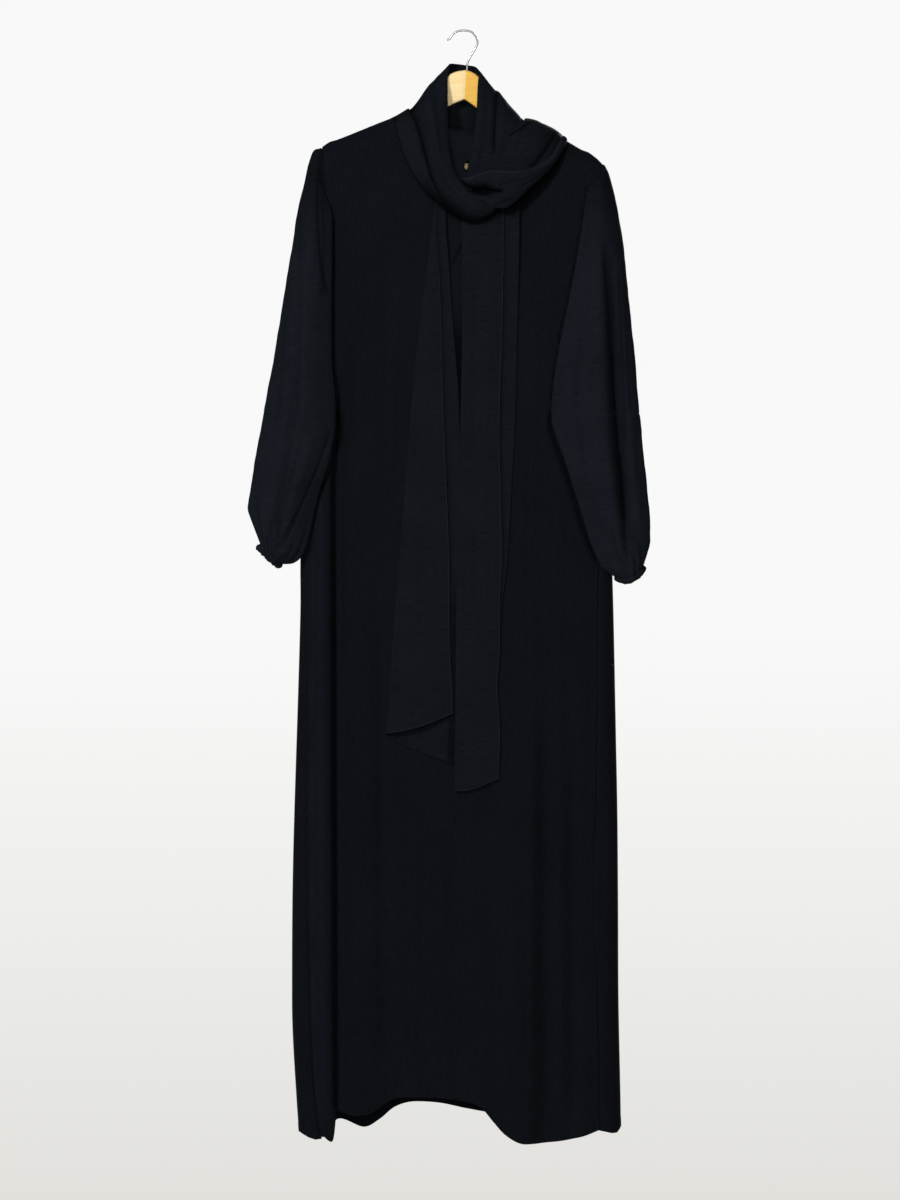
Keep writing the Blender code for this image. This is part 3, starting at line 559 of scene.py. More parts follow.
def laps(lines, along, across):
    """Cloth lapped over itself at given lines: a step up, then a slow fall."""
    rise, shade = np.zeros((2, *np.broadcast(along, across).shape))
    for reach, height, places in lines:
        places = np.array(sorted(places), float)
        share = (along - places[0, 0]) / (places[-1, 0] - places[0, 0])
        fade = ease(share, 0, 0.15) * (1 - ease(share, 0.85, 1))
        beyond = (across - smooth_line(places[:, 0], places[:, 1], along)) / reach
        step = np.where(beyond > 0, (1 - np.exp(-18 * beyond.clip(0))) * np.exp(-beyond.clip(0, 9)), 0)
        trough = np.exp(-np.abs(np.where(beyond > 0, 12 * beyond, 5 * beyond)))
        rise += height * fade * (step - 0.45 * trough)
        # The trough beside each lap is also painted shade, for fold_shade.
        shade += fade * trough
    return rise, shade


def ripples(along, across, seed, height):
    """Uneven low waves in millimetres that run along the cloth, from a fixed seed."""
    random = np.random.default_rng(seed)
    total = np.zeros(np.broadcast(along, across).shape)
    for width in (13, 19, 28, 41, 60, 88):
        phase, drift, wander, tempo = random.uniform(0, 2 * math.pi, 4)
        bend = 1.5 * np.sin(2 * math.pi * along / (width * (8 + tempo)) + drift)
        swell = 0.55 + 0.45 * np.cos(2 * math.pi * along / (width * 11) + wander)
        total += (width / 88) ** 0.8 * swell * np.cos(2 * math.pi * across / width + phase + bend)
    return total * height / 2.2


def tilted(x, z):
    """A point of the upright hanger, in the row frame."""
    c, s = math.cos(HANGER_TILT), math.sin(HANGER_TILT)
    return HANGER_TOP[0] + x * c + z * s, HANGER_TOP[1] - x * s + z * c


def arm_edge(rows, x):
    """The height of the wooden arms' top or bottom edge, upright."""
    rows = np.array(rows, float)
    return np.interp(np.abs(x), rows[:, 0], rows[:, 1])


def ridge(x):
    """The height of the shoulder seam, which rests on the wooden arms and stands off their ends."""
    arm = np.linspace(-ARM_TOP[-1][0], ARM_TOP[-1][0], 37)
    at, height = tilted(arm, arm_edge(ARM_TOP, arm))
    return np.interp(x, at, height) + REST + RIDE + read(PUFF, "rise", x)


def over_shoulder(x, z, depth, side):
    """The depth of cloth that rounds over the arm and then hangs at the given depth."""
    below = np.clip((ridge(x) - z) / SHOULDER_ROUND, 0, 1)
    hang = np.sqrt(1 - (1 - below) ** 2)
    hang = 1 - ease(np.abs(x), NECK_HALF - 14, NECK_HALF + 6) * (1 - hang)
    start = -ARM_SWEEP * np.abs(x - HANGER_TOP[0]) + side * 2 * SEAM
    return start + (depth - start) * hang


def neckline(x, drop):
    """The height of a panel's top edge: the shoulder seams and the neckline between them."""
    return ridge(x) - drop * np.clip(1 - (x / NECK_HALF) ** 2, 0, 1) ** 0.6


def folds(rows, x, z):
    """The sum of a list's broad folds at a place."""
    total = np.zeros(np.broadcast(x, z).shape)
    for x_top, x_foot, top, foot, half, depth in rows:
        along = np.clip((top - z) / (top - foot), 0, 1)
        middle = mix(x_top, x_foot, along)
        total += depth * ease(along, 0, 0.3) * np.exp(-(((x - middle) / half) ** 2))
    return total


def pleat(x, z):
    """The deep fold beside the left side seam: a rounded strip, then a groove."""
    middle, depth = read(PLEAT, "x", z), read(PLEAT, "depth", z)
    strip = np.exp(-(((x - middle + 21) / 15) ** 2))
    groove = np.exp(-(((x - middle) / (0.62 * PLEAT_HALF)) ** 4))
    return depth * (groove - 0.38 * strip)


def front_surface(x, z, fine=False):
    """The depth of the middle of the front panel's wall."""
    left, right = read(BODY, "seam_left", z), read(BODY, "seam_right", z)
    inside = ease(np.minimum(x - left, right - x), 0, 30)
    depth = mix(read(BODY, "front_edge", z), read(BODY, "front", z), inside)
    shape = folds(FRONT_FOLDS, x, z) + pleat(x, z)
    if fine:
        within = ease(x - left, 0, 14) * ease(-z, 190, 260)
        shape = shape + within * (creases(FRONT_CREASES, z, x) + ripples(z, x, 5, 0.45))
    depth = depth + shape * ease(right - x, 0, 30)
    return over_shoulder(x, z, depth, -1)


def front_columns(z, share):
    """The x of the front panel's columns: beside the seam, in the groove, and in the rest."""
    low, high = read(PLEAT, "x", z) - PLEAT_HALF, read(PLEAT, "x", z) + PLEAT_HALF
    left, right = read(BODY, "seam_left", z) + SEAM, read(BODY, "seam_right", z) - SEAM
    beside = mix(left, low, share)
    groove = mix(low, high, share - 1)
    return np.where(share < 1, beside, np.where(share < 2, groove, mix(high, right, share - 2)))


def panel_rows(count):
    """Shares down a panel, close together over the shoulder and at the hem."""
    shoulder = np.array([0, 0.6, 1.4, 2.4, 3.6, 5, 7, 9.5, 12.5, 16, 20, 25, 31, 38, 46]) / 1450
    drop = 1450
    foot = np.array([1445, 1448.6, drop]) / drop
    return np.concatenate([shoulder, np.linspace(52 / drop, 1441 / drop, count), foot])


def front_panel():
    spans = ((0.06, 1, 11), (1, 2, 12), (2, 2.15, 8), (2.15, 2.74, 122))
    spread = [np.linspace(low, high, count, False) for low, high, count in spans]
    share = np.concatenate([[0, 0.02], *spread, np.linspace(2.74, 2.994, 24), [2.998, 3]])
    top = neckline(front_columns(-190.0, share), NECK_FRONT)
    hem = read(FRONT_HEM, "height", front_columns(-1640.0, share))
    z = top + (hem - top) * panel_rows(220)[:, None]
    x = front_columns(z, share)
    y = front_surface(x, z, fine=True)
    # Painted shadows: along the edges of the scarf's ends (near, which also sinks the cloth), in the gap between the
    # ends (between), along a short fold (fold), in the creases, and beneath the scarf (under_scarf).
    near = np.zeros(x.shape)
    for name, sides in (("left", ("left", "back_right")), ("right", ("left", "front_right", "back_right"))):
        rows = TAILS[name]
        for side in sides:
            away = (x - read(rows, side, z)) * (1 if side == "left" else -1)
            foot = rows["height"][-1]
            dark = 0.9 if side == "left" else 0.55
            reach = dark * ease(-z, 255, 290) * ease(z, foot, foot + 6)
            near = np.maximum(near, reach * np.exp(-((np.abs(away + 0.6) / 2.8) ** 1.5)))
    between = ease(x, -26, -20) * (1 - ease(x, -4, 0)) * ease(-z, 400, 490) * (1 - ease(-z, 640, 700))
    fold = np.exp(-((np.abs(x + 3 + (-z - 320) * 0.5) / 1.6) ** 1.5)) * ease(-z, 316, 322) * (1 - ease(-z, 350, 354))
    shade = creases(FRONT_CREASES, z, x).clip(0) / 14 + near + 0.8 * between + 0.8 * fold
    shade = np.clip(np.maximum(shade, under_scarf(x, z)), 0, 1)
    return np.stack([x, y + 2.4 * near + 1.5 * fold, z], axis=-1), shade


def back_turn(z, side, name, count):
    """The curve by which the back panel leaves a side seam and turns to the back."""
    edge, back = read(BODY, "back_edge", z), read(BODY, "back", z)
    seam, out = read(BODY, "seam_" + name, z), read(BODY, "out_" + name, z)
    start = edge + REST * ease(-z, 560, 580) + 0.4
    keys = [
        (seam - side * 0.3, start),
        (mix(seam, out, 0.75), mix(start, back, 0.12)),
        (out, mix(start, back, 0.45)),
        (out - side * 7, mix(start, back, 0.85)),
        (out - side * 24, back),
    ]
    turn = through(keys, count)
    squeeze = ease(z, -260, -190)
    turn[:, 0] = mix(turn[:, 0], seam - side * np.linspace(0.3, 24, count), squeeze)
    return turn


def back_columns(z, turn=12, across=104):
    """The x and depth of the back panel's columns at one height, from seam to seam."""
    left, right = back_turn(z, -1, "left", turn), back_turn(z, 1, "right", turn)[::-1]
    between = np.linspace(left[-1], right[0], across)[1:-1]
    inside = ease(np.minimum(between[:, 0] - left[-1, 0], right[0, 0] - between[:, 0]), 0, 20)
    between[:, 1] += folds(BACK_FOLDS, between[:, 0], z) * -inside
    return np.concatenate([left, between, right])


def back_panel():
    heights = np.concatenate([np.linspace(-1690, -300, 160, False), np.linspace(-300, -60, 60)])
    grid = np.array([back_columns(z) for z in heights])
    at = {z: back_columns(z)[:, 0] for z in (-190.0, -1640.0)}
    top = neckline(at[-190.0], NECK_BACK)
    hem = read(BACK_HEM, "height", at[-1640.0])
    z = top + (hem - top) * panel_rows(232)[:, None]
    x, y = (np.stack([np.interp(z[:, j], heights, grid[:, j, k]) for j in range(grid.shape[1])], axis=-1) for k in (0, 1))
    left, right = read(BODY, "out_left", z), read(BODY, "out_right", z)
    within = ease(np.minimum(x - left, right - x), 22, 44) * ease(-z, 190, 260)
    trough = within * creases(BACK_CREASES, z, x)
    y = y - trough - within * ripples(z, x, 8, 0.8)
    # The crease troughs also give painted shade, for fold_shade.
    return np.stack([x, over_shoulder(x, z, y, 1), z], axis=-1), np.clip(trough / 6, 0, 1)


def sleeve_row(name, height, count):
    """One row of a sleeve, from the armhole's front edge round to its back edge."""
    side = -1 if name == "left" else 1
    rows = SLEEVES[name]
    inner, outer, rear, front, back = (read(rows, k, height) for k in ("inner", "outer", "rear", "front", "back"))
    seam, out = read(BODY, "seam_" + name, height), read(BODY, "out_" + name, height)
    width, middle = outer - inner, (front + back) / 2
    closed = ease(-height, -UNDERARM, -UNDERARM + 60)
    below = height < UNDERARM
    under_x = inner + side * max(0.35 * abs(width), side * (out - inner) + 9)
    under_x = mix(seam + side * 6, min(under_x, outer - side * 6, key=abs), closed)
    smooth = 1 - ease(-height, -JOIN[name][0], -JOIN[name][1])
    front_y = front_surface(seam, height) - REST * (1 - smooth)
    back_y = over_shoulder(seam, height, read(BODY, "back_edge", height), 1) + 3
    first = (under_x - side * SEAM, rear) if below else (seam, front_y)
    last = (under_x + side * SEAM, rear) if below else (max(abs(seam), abs(out)) * side + side * REST, back_y)
    cap = ease(height, rows["height"][-1] - 14, rows["height"][-1])
    rear, front, back = mix(rear, front_y - 0.3, cap), mix(front, front_y - 0.8, cap), mix(back, back_y - 0.5, cap)
    middle = (front + back) / 2
    keys = [
        first,
        (first[0], first[1] - 1.8) if not below else (mix(inner, first[0], 0.85), rear),
        (mix(inner, first[0], 0.5), rear),
        (inner, mix(rear, front, 0.12)),
        (inner + 0.1 * width, mix(rear, front, 0.42)),
        (inner + 0.32 * width, mix(rear, front, 0.85)),
        (inner + 0.56 * width, front),
        (inner + 0.84 * width, mix(front, middle, 0.4)),
        (outer, middle),
        (inner + 0.86 * width, mix(middle, back, 0.7)),
        (mix(last[0], outer, 0.45), back),
        last,
    ]
    for i in range(1, 6):
        goal = (mix(first[0], keys[6][0], i / 6), mix(first[1], keys[6][1], ease(i / 6, 0, 1)))
        keys[i] = tuple(mix(np.array(keys[i]), np.array(goal), smooth))
    row = through(keys, count)
    fold = SLEEVE_FOLDS[name]
    near = np.exp(-(((row[:, 0] - read(fold, "x", height)) / read(fold, "half", height)) ** 2))
    row[:, 1] += read(fold, "depth", height) * near * (row[:, 1] < middle)
    facing = ease(middle - row[:, 1], -2, 12)
    row[:, 1] += facing * creases(SLEEVE_CREASES[name], height, row[:, 0])
    crease = creases(SLEEVE_BACK_CREASES[name], height, row[:, 0])
    row[:, 1] -= (1 - facing) * ease(row[:, 1], rear, rear + 14) * crease
    # Painted shade in the creases and in the big fold, for fold_shade.
    trough = facing * creases(SLEEVE_CREASES[name], height, row[:, 0]).clip(0)
    power = mix(0.3, 0.8, ease(rows["height"][-1] - height, 0, 45))
    z = height + read(rows, "rise", height) * np.sin(math.pi * np.linspace(0, 1, count)) ** power
    return np.column_stack([row, z, trough / 7 + 0.3 * (near * read(fold, "depth", height) / 16).clip(0, 1) * facing])


def outward(points):
    """Unit directions across a grid's rows and columns."""
    along, around = np.gradient(points, axis=0), np.gradient(points, axis=1)
    normal = np.cross(around, along)
    return normal / np.maximum(np.linalg.norm(normal, axis=-1, keepdims=True), 1e-9)


def gathers(up, around, seed):
    """Puckers from the wrist up, each with its own place, width, length and depth."""
    random = np.random.default_rng(seed)
    total = np.zeros(np.broadcast(up, around).shape)
    count = 17
    for i in range(count):
        middle = (i + 0.5 + random.uniform(-0.3, 0.3)) / count
        length = random.uniform(22, 60) if i % 3 else random.uniform(70, 125)
        half = random.uniform(0.4, 0.75) / (2 * count)
        depth = random.uniform(1.5, 3.4)
        lean = random.uniform(-0.035, 0.035)
        fade = 1 - ease(up, 0, length)
        total += depth * fade * np.exp(-(((around - middle - lean * up / length) / half) ** 2))
    return total


def sleeve(name, around=126):
    wrist, top = SLEEVES[name]["height"][[0, -1]]
    head, length = np.linspace(0.004, 0.06, 16, False), np.linspace(0.06, 0.8, 88, False)
    share = np.concatenate([[0, 0.0012], head, length, np.linspace(0.8, 1, 36)])
    heights = mix(top, wrist, share)
    made = np.array([sleeve_row(name, height, around) for height in heights])
    points, shade = made[..., :3], made[..., 3]
    lean = ease(-heights, -(wrist + WRIST_TOP), -wrist)[:, None]
    centre = points.mean(axis=1, keepdims=True)
    across, deep = WRIST_LEAN[name]
    shift = (points - centre)[..., 0] * across + (points - centre)[..., 1] * deep
    points[..., 2] += lean * shift
    normal = outward(points)
    normal[..., 2] = 0
    share = np.linspace(0, 1, around)
    edges = np.sin(math.pi * share) ** 0.3
    up = (heights - wrist)[:, None]
    pucker = gathers(up, share[None, :], GATHER_SEEDS[name]) - 0.9 * (1 - ease(up, 0, 70))
    length = np.cumsum(np.linalg.norm(np.diff(points, axis=1, prepend=points[:, :1]), axis=-1), axis=1)
    pucker = pucker + ripples(length, heights[:, None], 31, 0.7) * ease(up, 20, 120) * ease(top - heights[:, None], 0, 60)
    # The gathers' puckers add painted shade to fold_shade.
    return points - normal * (pucker * edges[None, :])[..., None], np.clip(shade + pucker.clip(0) / 7, 0, 1)


def cuff(name):
    """A puckered ring past the sleeve's last row, with elastic drawn through it."""
    last = sleeve(name)[0][-1]
    centre = last.mean(axis=0)
    across, deep = WRIST_LEAN[name]
    axis = np.array([across, deep, -1.0])
    axis /= np.linalg.norm(axis)
    share = steps(14, 0.02)
    around = np.linspace(0, 1, len(last))
    wave = np.cos(2 * math.pi * 23 * around + 2 * np.sin(2 * math.pi * 3 * around)) * np.sin(math.pi * around) ** 0.3
    swell = 1 + (CUFF_SWELL * np.sin(math.pi * share) - 1.0)[:, None] / 16
    swell = swell + 0.03 * wave[None, :] * np.sin(math.pi * (share[:, None] * 0.9 + 0.1))
    ring = centre + (last - centre)[None] * swell[..., None]
    reach = -0.3 + share * (CUFF_LENGTH + 1.4)
    sway = 0.5 * np.cos(2 * math.pi * 9 * around + 1)[None, :] * share[:, None]
    return ring + axis * (reach[:, None] + sway)[..., None]


def under_scarf(x, z):
    """How dark the painted shadow beneath the scarf's edge is on the cloth behind it."""
    line = through([[a, b] for a, b, _ in SCARF_FOOT], 260)
    reach = np.interp(line[:, 0], [row[0] for row in SCARF_FOOT], [row[2] for row in SCARF_FOOT])
    dark = np.zeros(np.broadcast(x, z).shape)
    for (a, b), wide in zip(line, reach):
        near = (np.abs(x - a) < 3 * wide) & (np.abs(z - b) < 3 * wide)
        away = np.hypot(x[near] - a, z[near] - b) / wide
        dark[near] = np.maximum(dark[near], np.exp(-(away**2.2)))
    return dark


def drawn(name, points, shade):
    """The piece's shade with its drawn shadows and lights."""
    x, z = points[..., 0], points[..., 2]
    facing = points[..., 1] < (-50 if "sleeve" in name else 15)
    shade = np.broadcast_to(shade, x.shape)
    for reach, strength, places in DRAWN.get(name, ()):
        most = np.zeros(x.shape)
        for a, b in through(places, 120):
            near = (np.abs(x - a) < 3 * reach) & (np.abs(z - b) < 3 * reach) & facing
            most[near] = np.maximum(most[near], np.exp(-(np.hypot(x[near] - a, z[near] - b) / reach) ** 2))
        # Painted shadow where the strength is above 0, painted highlight where it is below 0.
        shade = shade + most * ((strength - shade).clip(0) if strength > 0 else strength * (1 - shade.clip(0, 1)))
    return points, shade


def band(rows, start, end, count, columns, lines=(), seed=1, lapped=(), lean=1.0):
    """A band between two edges, standing out in its middle, with its creases and the painted shade in them and in its
    laps.
    """
    t = mix(start, end, steps(count))
    across = (1 - np.cos(math.pi * steps(columns, 0.006))) / 2
    first = np.stack([read(rows, k, t) for k in ("x0", "y0", "z0")], axis=-1)
    second = np.stack([read(rows, k, t) for k in ("x1", "y1", "z1")], axis=-1)
    flat = first[:, None] + (second - first)[:, None] * across[None, :, None]
    out = outward(flat).mean(axis=1, keepdims=True)
    out /= np.linalg.norm(out, axis=-1, keepdims=True)
    bent = np.clip(across[None, :], 0, 1) ** (1 + (lean - 1) * ease(t, 11.5, 13.5)[:, None])
    stand = np.sqrt(np.sin(math.pi * bent).clip(0))
    lift = read(rows, "bulge", t)[:, None] * stand
    width = np.linalg.norm(second - first, axis=-1)[:, None] * across
    length = np.concatenate([[0], np.cumsum(np.linalg.norm(np.diff(flat.mean(axis=1), axis=0), axis=1))])
    within = np.clip(stand * 1.4, 0, 1)
    trough = creases(lines, t[:, None], across[None, :])
    rise, shade = laps(lapped, t[:, None], across[None, :])
    lift = lift + within * (rise - trough + ripples(length[:, None], width, seed, 0.9))
    shade = np.clip(shade + trough.clip(0) / 6, 0, 1) * within
    # Painted shade on the lower side of the swag, where it turns down away from the light.
    if lean != 1:
        shade = np.maximum(shade, 0.9 * (ease(across, 0.4, 1)[None, :] * ease(t, 12.2, 14)[:, None]))
    return flat + out * lift[..., None], shade


def pouch():
    """The flap, with the deep hollow at its left end overhung by the lip above it, and the hollow painted dark as
    shade.
    """
    points, shade = band(FLAP, 0, 6, 110, 84, FLAP_CREASES, 44)
    t = mix(0, 6, steps(110))[:, None]
    across = ((1 - np.cos(math.pi * steps(84, 0.006))) / 2)[None, :]
    hollow = creases(POUCH, t, across)
    edge = smooth_line([0, 0.35, 0.8, 1.3, 1.85, 2.2], [0.18, 0.28, 0.35, 0.36, 0.44, 0.5], t)
    lip = (1 - ease(t, 1.5, 2.4)) * np.exp(-(((across - edge + 0.06) / 0.1) ** 2))
    points = points + np.stack([0 * hollow, 13 * hollow - 4.0 * lip, -3.5 * lip], axis=-1)
    # The hollow is painted dark as shade, on top of the crease shade.
    return points, np.clip(shade + 1.6 * hollow, 0, 1)


def turned_in(points, shade):
    """The left of the loop, with its inner edge turned in across the foot of the neck."""
    t = mix(8.03, 17.0, steps(len(points) - 4))
    width = read(TURN_IN, "width", t)[:, None]
    share = np.linspace(1, 0, 17)[:-1][None, :]
    edge = points[:, :1]
    soft = ripples(edge[..., 2], width * share, 61, 1.6) * share
    reach = width * share
    sunk = 2.6 * np.sin(math.pi * share / 2) + 0.28 * width * share + soft
    inward = np.stack([reach, sunk, 0 * reach], axis=-1)
    # Painted shadow along the turned-in edge (inner) and across its top end (start).
    start = 0.6 * np.exp(-((t - 11.7).clip(0) / 0.1))[:, None]
    inner = np.maximum(0.75 * np.exp(-np.abs(reach - 1.5) / 2.2), start)
    shade = np.concatenate([inner * (width > 1), shade], axis=1)
    return np.concatenate([edge + inward, points], axis=1), shade


def tail(name):
    """A scarf end folded lengthwise: front layer, the fold at its left, back layer."""
    rows = TAILS[name]
    hem_front, hem_fold, hem_back = TAIL_HEMS[name]
    top = rows["height"][-1]
    layer = np.linspace(0.14, 0.96, 25)
    side = np.concatenate([[-1, -0.985], -layer[::-1], np.linspace(-0.11, 0.11, 9), layer, [0.985, 1]])
    hem = np.where(side < 0, mix(hem_fold, hem_front, -side), mix(hem_fold, hem_back, side))
    hem = hem - TAIL_SAG * np.sin(math.pi * np.clip(-side, 0, 1))
    z = top + (hem - top) * steps(168, 0.0016)[:, None]
    left = read(rows, "left", z)
    free = np.where(side < 0, read(rows, "front_right", z), read(rows, "back_right", z))
    x = left + (free - left) * np.abs(side) ** 1.35
    near, far = TAIL_LAYERS
    layer = mix(far, near, ease(side, -0.12, 0.12))
    # the free edge lies on the layer behind it
    layer = layer - (far - near - 1.3) * np.exp(-(((side + 1) / 0.09) ** 2))
    away = (z - hem) / 30
    layer = layer + HEM_LIFT[name] * np.exp(-away) * np.sin(math.pi * np.clip(-side, 0, 1))
    lift = TAIL_LIFT * (1 - ease(-z, -TAIL_SETTLE[0], -TAIL_SETTLE[1]))
    soft = ease(1 - np.abs(side), 0, 0.12) * (creases(TAIL_CREASES[name], z, x) + ripples(x, z, 17, 0.35))
    # Painted shadows: on the back layer beside the front layer's free edge (behind), on the left end's back layer in
    # the gap (under), just below the front layer's hem (hidden), and beneath the scarf.
    behind = (side > 0) * np.exp(-(np.abs(x - read(rows, "front_right", z) - 0.5) / 3.2))
    under = (side > 0) * ease(-z, 790, 900) if name == "left" else 0
    beneath = mix(hem_fold, hem_front, ((x - left) / (read(rows, "front_right", z) - left)).clip(0, 1)) - z
    hidden = (side > 0) * (name == "left") * ease(beneath, -4, -1) * np.exp(-(beneath.clip(0) / 8))
    folds = np.maximum(0.5 * behind, 0.55 * under * (x > -24))
    shade = np.maximum(folds, np.maximum(0.8 * hidden, under_scarf(x, z)))
    return np.stack([x, front_surface(x, z, fine=True) - layer - lift + soft, z], axis=-1), np.clip(shade, 0, 1)


# Meshes


def arc_lengths(points):
    """Each point's way across and along the cloth, in metres, as the piece lies flat."""
    across = np.linalg.norm(np.diff(points, axis=1, prepend=points[:, :1]), axis=-1)
    along = np.linalg.norm(np.diff(points, axis=0, prepend=points[:1]), axis=-1)
    return np.cumsum(across, axis=1) * MM, np.cumsum(along, axis=0) * MM


def wall(name, points, thickness, crosswise, shade):
    """A closed wall of cloth on both sides of a grid, with flat lengths as UVs and its painted shade (painted
    highlight below 0) as fold_shade.
    """
    rows, columns = points.shape[:2]
    offset = outward(points) * np.broadcast_to(np.asarray(thickness, float), (rows, columns))[..., None] / 2
    faces_of = np.arange(rows * columns).reshape(rows, columns)
    corners = (faces_of[:-1, :-1], faces_of[:-1, 1:], faces_of[1:, 1:], faces_of[1:, :-1])
    front = np.stack(corners, axis=-1).reshape(-1, 4)
    back = front[:, ::-1] + rows * columns
    rim = np.concatenate([faces_of[0, :], faces_of[1:, -1], faces_of[-1, -2::-1], faces_of[-2::-1, 0]])
    edge = np.stack([rim[1:], rim[:-1], rim[:-1] + rows * columns, rim[1:] + rows * columns], axis=-1)
    mesh = bpy.data.meshes.new(name)
    both = np.concatenate([(points + offset).reshape(-1, 3), (points - offset).reshape(-1, 3)]) * MM
    mesh.from_pydata(both.tolist(), [], np.concatenate([front, back, edge]).tolist())
    across, along = arc_lengths(points)
    flat = np.stack([along, across] if crosswise else [across, along], axis=-1).reshape(-1, 2)
    corners = np.empty(len(mesh.loops), np.int32)
    mesh.loops.foreach_get("vertex_index", corners)
    layer = mesh.uv_layers.new(name="cloth")
    layer.data.foreach_set("uv", np.concatenate([flat, flat])[corners].ravel().astype(np.float32))
    dark = np.broadcast_to(np.asarray(shade, float), (rows, columns)).ravel()
    folded = mesh.attributes.new("fold_shade", "FLOAT", "POINT")
    folded.data.foreach_set("value", np.concatenate([dark, dark]).astype(np.float32))
    mesh.shade_smooth()
    return mesh


def place(context, name, mesh, material, node):
    """Adds a finished piece that stands for a node of the solids."""
    if mesh.materials:
        mesh.materials.clear()
    for one in material if isinstance(material, (list, tuple)) else [material]:
        mesh.materials.append(one)
    piece = bpy.data.objects.new(name, mesh)
    context.scene.collection.objects.link(piece)
    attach(piece, "root")
    if node:
        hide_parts(node)
    return piece


def tube(name, points, radius, sides=6):
    """A round wire or bar along a line of points, as a plain mesh with closed ends."""
    curve = bpy.data.curves.new(name, "CURVE")
    curve.dimensions = "3D"
    curve.bevel_depth = radius * MM
    curve.bevel_resolution = sides
    curve.use_fill_caps = True
    line = curve.splines.new("POLY")
    line.points.add(len(points) - 1)
    for point, (x, y, z) in zip(line.points, points):
        point.co = (x * MM, y * MM, z * MM, 1)
    line.use_smooth = True
    guide = bpy.data.objects.new(name + "_guide", curve)
    mesh = bpy.data.meshes.new_from_object(guide)
    mesh.name = name
    bpy.data.objects.remove(guide)
    return mesh


# Materials

# The colours that fold_shade blends the crepe towards: painted shade, and painted highlight.
PAINTED_FOLD_SHADE = (0.00006, 0.00006, 0.0001)  # where fold_shade is 1
LIT_EDGE = (0.02, 0.025, 0.033)  # where fold_shade is -1
SLEEVE_PAINTED_LIGHT_FADE = (-0.34, -0.225)  # heights in metres: the sleeve's painted lighter tone in full, the body's tone


def add_node(tree, kind, **settings):
    """A node, laid out after the ones that its tree already holds."""
    column, row = divmod(len(tree.nodes), 5)
    made = tree.nodes.new(kind)
    made.location = (220 * column, -220 * row)
    for name, value in settings.items():
        setattr(made, name, value)
    return made


def link(tree, *pairs):
    """Joins pairs of sockets, output first."""
    for a, b in pairs:
        tree.links.new(a, b)


def set_inputs(node, values):
    """Sets a node's inputs by their labels."""
    for label, value in values.items():
        node.inputs[label].default_value = value


def new_material(name):
    """An empty material, with its node tree and its shader."""
    material = bpy.data.materials.new(name)
    material.use_nodes = True
    return material, material.node_tree, material.node_tree.nodes["Principled BSDF"]


def pattern_group(name, **inputs):
    """An empty group that turns a place on the cloth or the wood into a surface."""
    tree = bpy.data.node_groups.new(name, "ShaderNodeTree")
    outputs = {"Colour": "Color", "Roughness": "Float", "Height": "Float"}
    for in_out, sockets in (("INPUT", {"Place": "Vector", **inputs}), ("OUTPUT", outputs)):
        for label, kind in sockets.items():
            tree.interface.new_socket(label, in_out=in_out, socket_type="NodeSocket" + kind)
    return tree, add_node(tree, "NodeGroupInput").outputs, add_node(tree, "NodeGroupOutput").inputs


def streaks(tree, source, across, along, detail):
    """Noise drawn out along the cloth: a stripe's width and length, in metres."""
    scaled = add_node(tree, "ShaderNodeVectorMath", operation="MULTIPLY")
    scaled.inputs[1].default_value = (1 / across, 1 / along, 1)
    noise = add_node(tree, "ShaderNodeTexNoise", noise_dimensions="2D")
    set_inputs(noise, {"Scale": 1, "Detail": detail, "Roughness": 0.6})
    link(tree, (source, scaled.inputs[0]), (scaled.outputs[0], noise.inputs["Vector"]))
    return noise.outputs["Fac"]


def weighted(tree, *parts):
    """The sum of some values, each times its weight."""
    total = None
    for value, weight in parts:
        step = add_node(tree, "ShaderNodeMath", operation="MULTIPLY_ADD")
        step.inputs[1].default_value = weight
        step.inputs[2].default_value = 0
        link(tree, (value, step.inputs[0]))
        if total:
            link(tree, (total, step.inputs[2]))
        total = step.outputs[0]
    return total


def ranged(tree, value, low, high, to_low=0.0, to_high=1.0):
    """A value moved from one range to another, and held inside it."""
    made = add_node(tree, "ShaderNodeMapRange")
    set_inputs(made, {"From Min": low, "From Max": high, "To Min": to_low, "To Max": to_high})
    link(tree, (value, made.inputs["Value"]))
    return made.outputs["Result"]


def blended(tree, factor, a, b):
    """One colour turning into another; each is a socket or a colour."""
    made = add_node(tree, "ShaderNodeMix", data_type="RGBA")
    amount, first, second = made.inputs[0], made.inputs[6], made.inputs[7]
    link(tree, (factor, amount))
    for socket, colour in ((first, a), (second, b)):
        if isinstance(colour, bpy.types.NodeSocket):
            link(tree, (colour, socket))
        else:
            socket.default_value = (*colour, 1)
    return made.outputs[2]


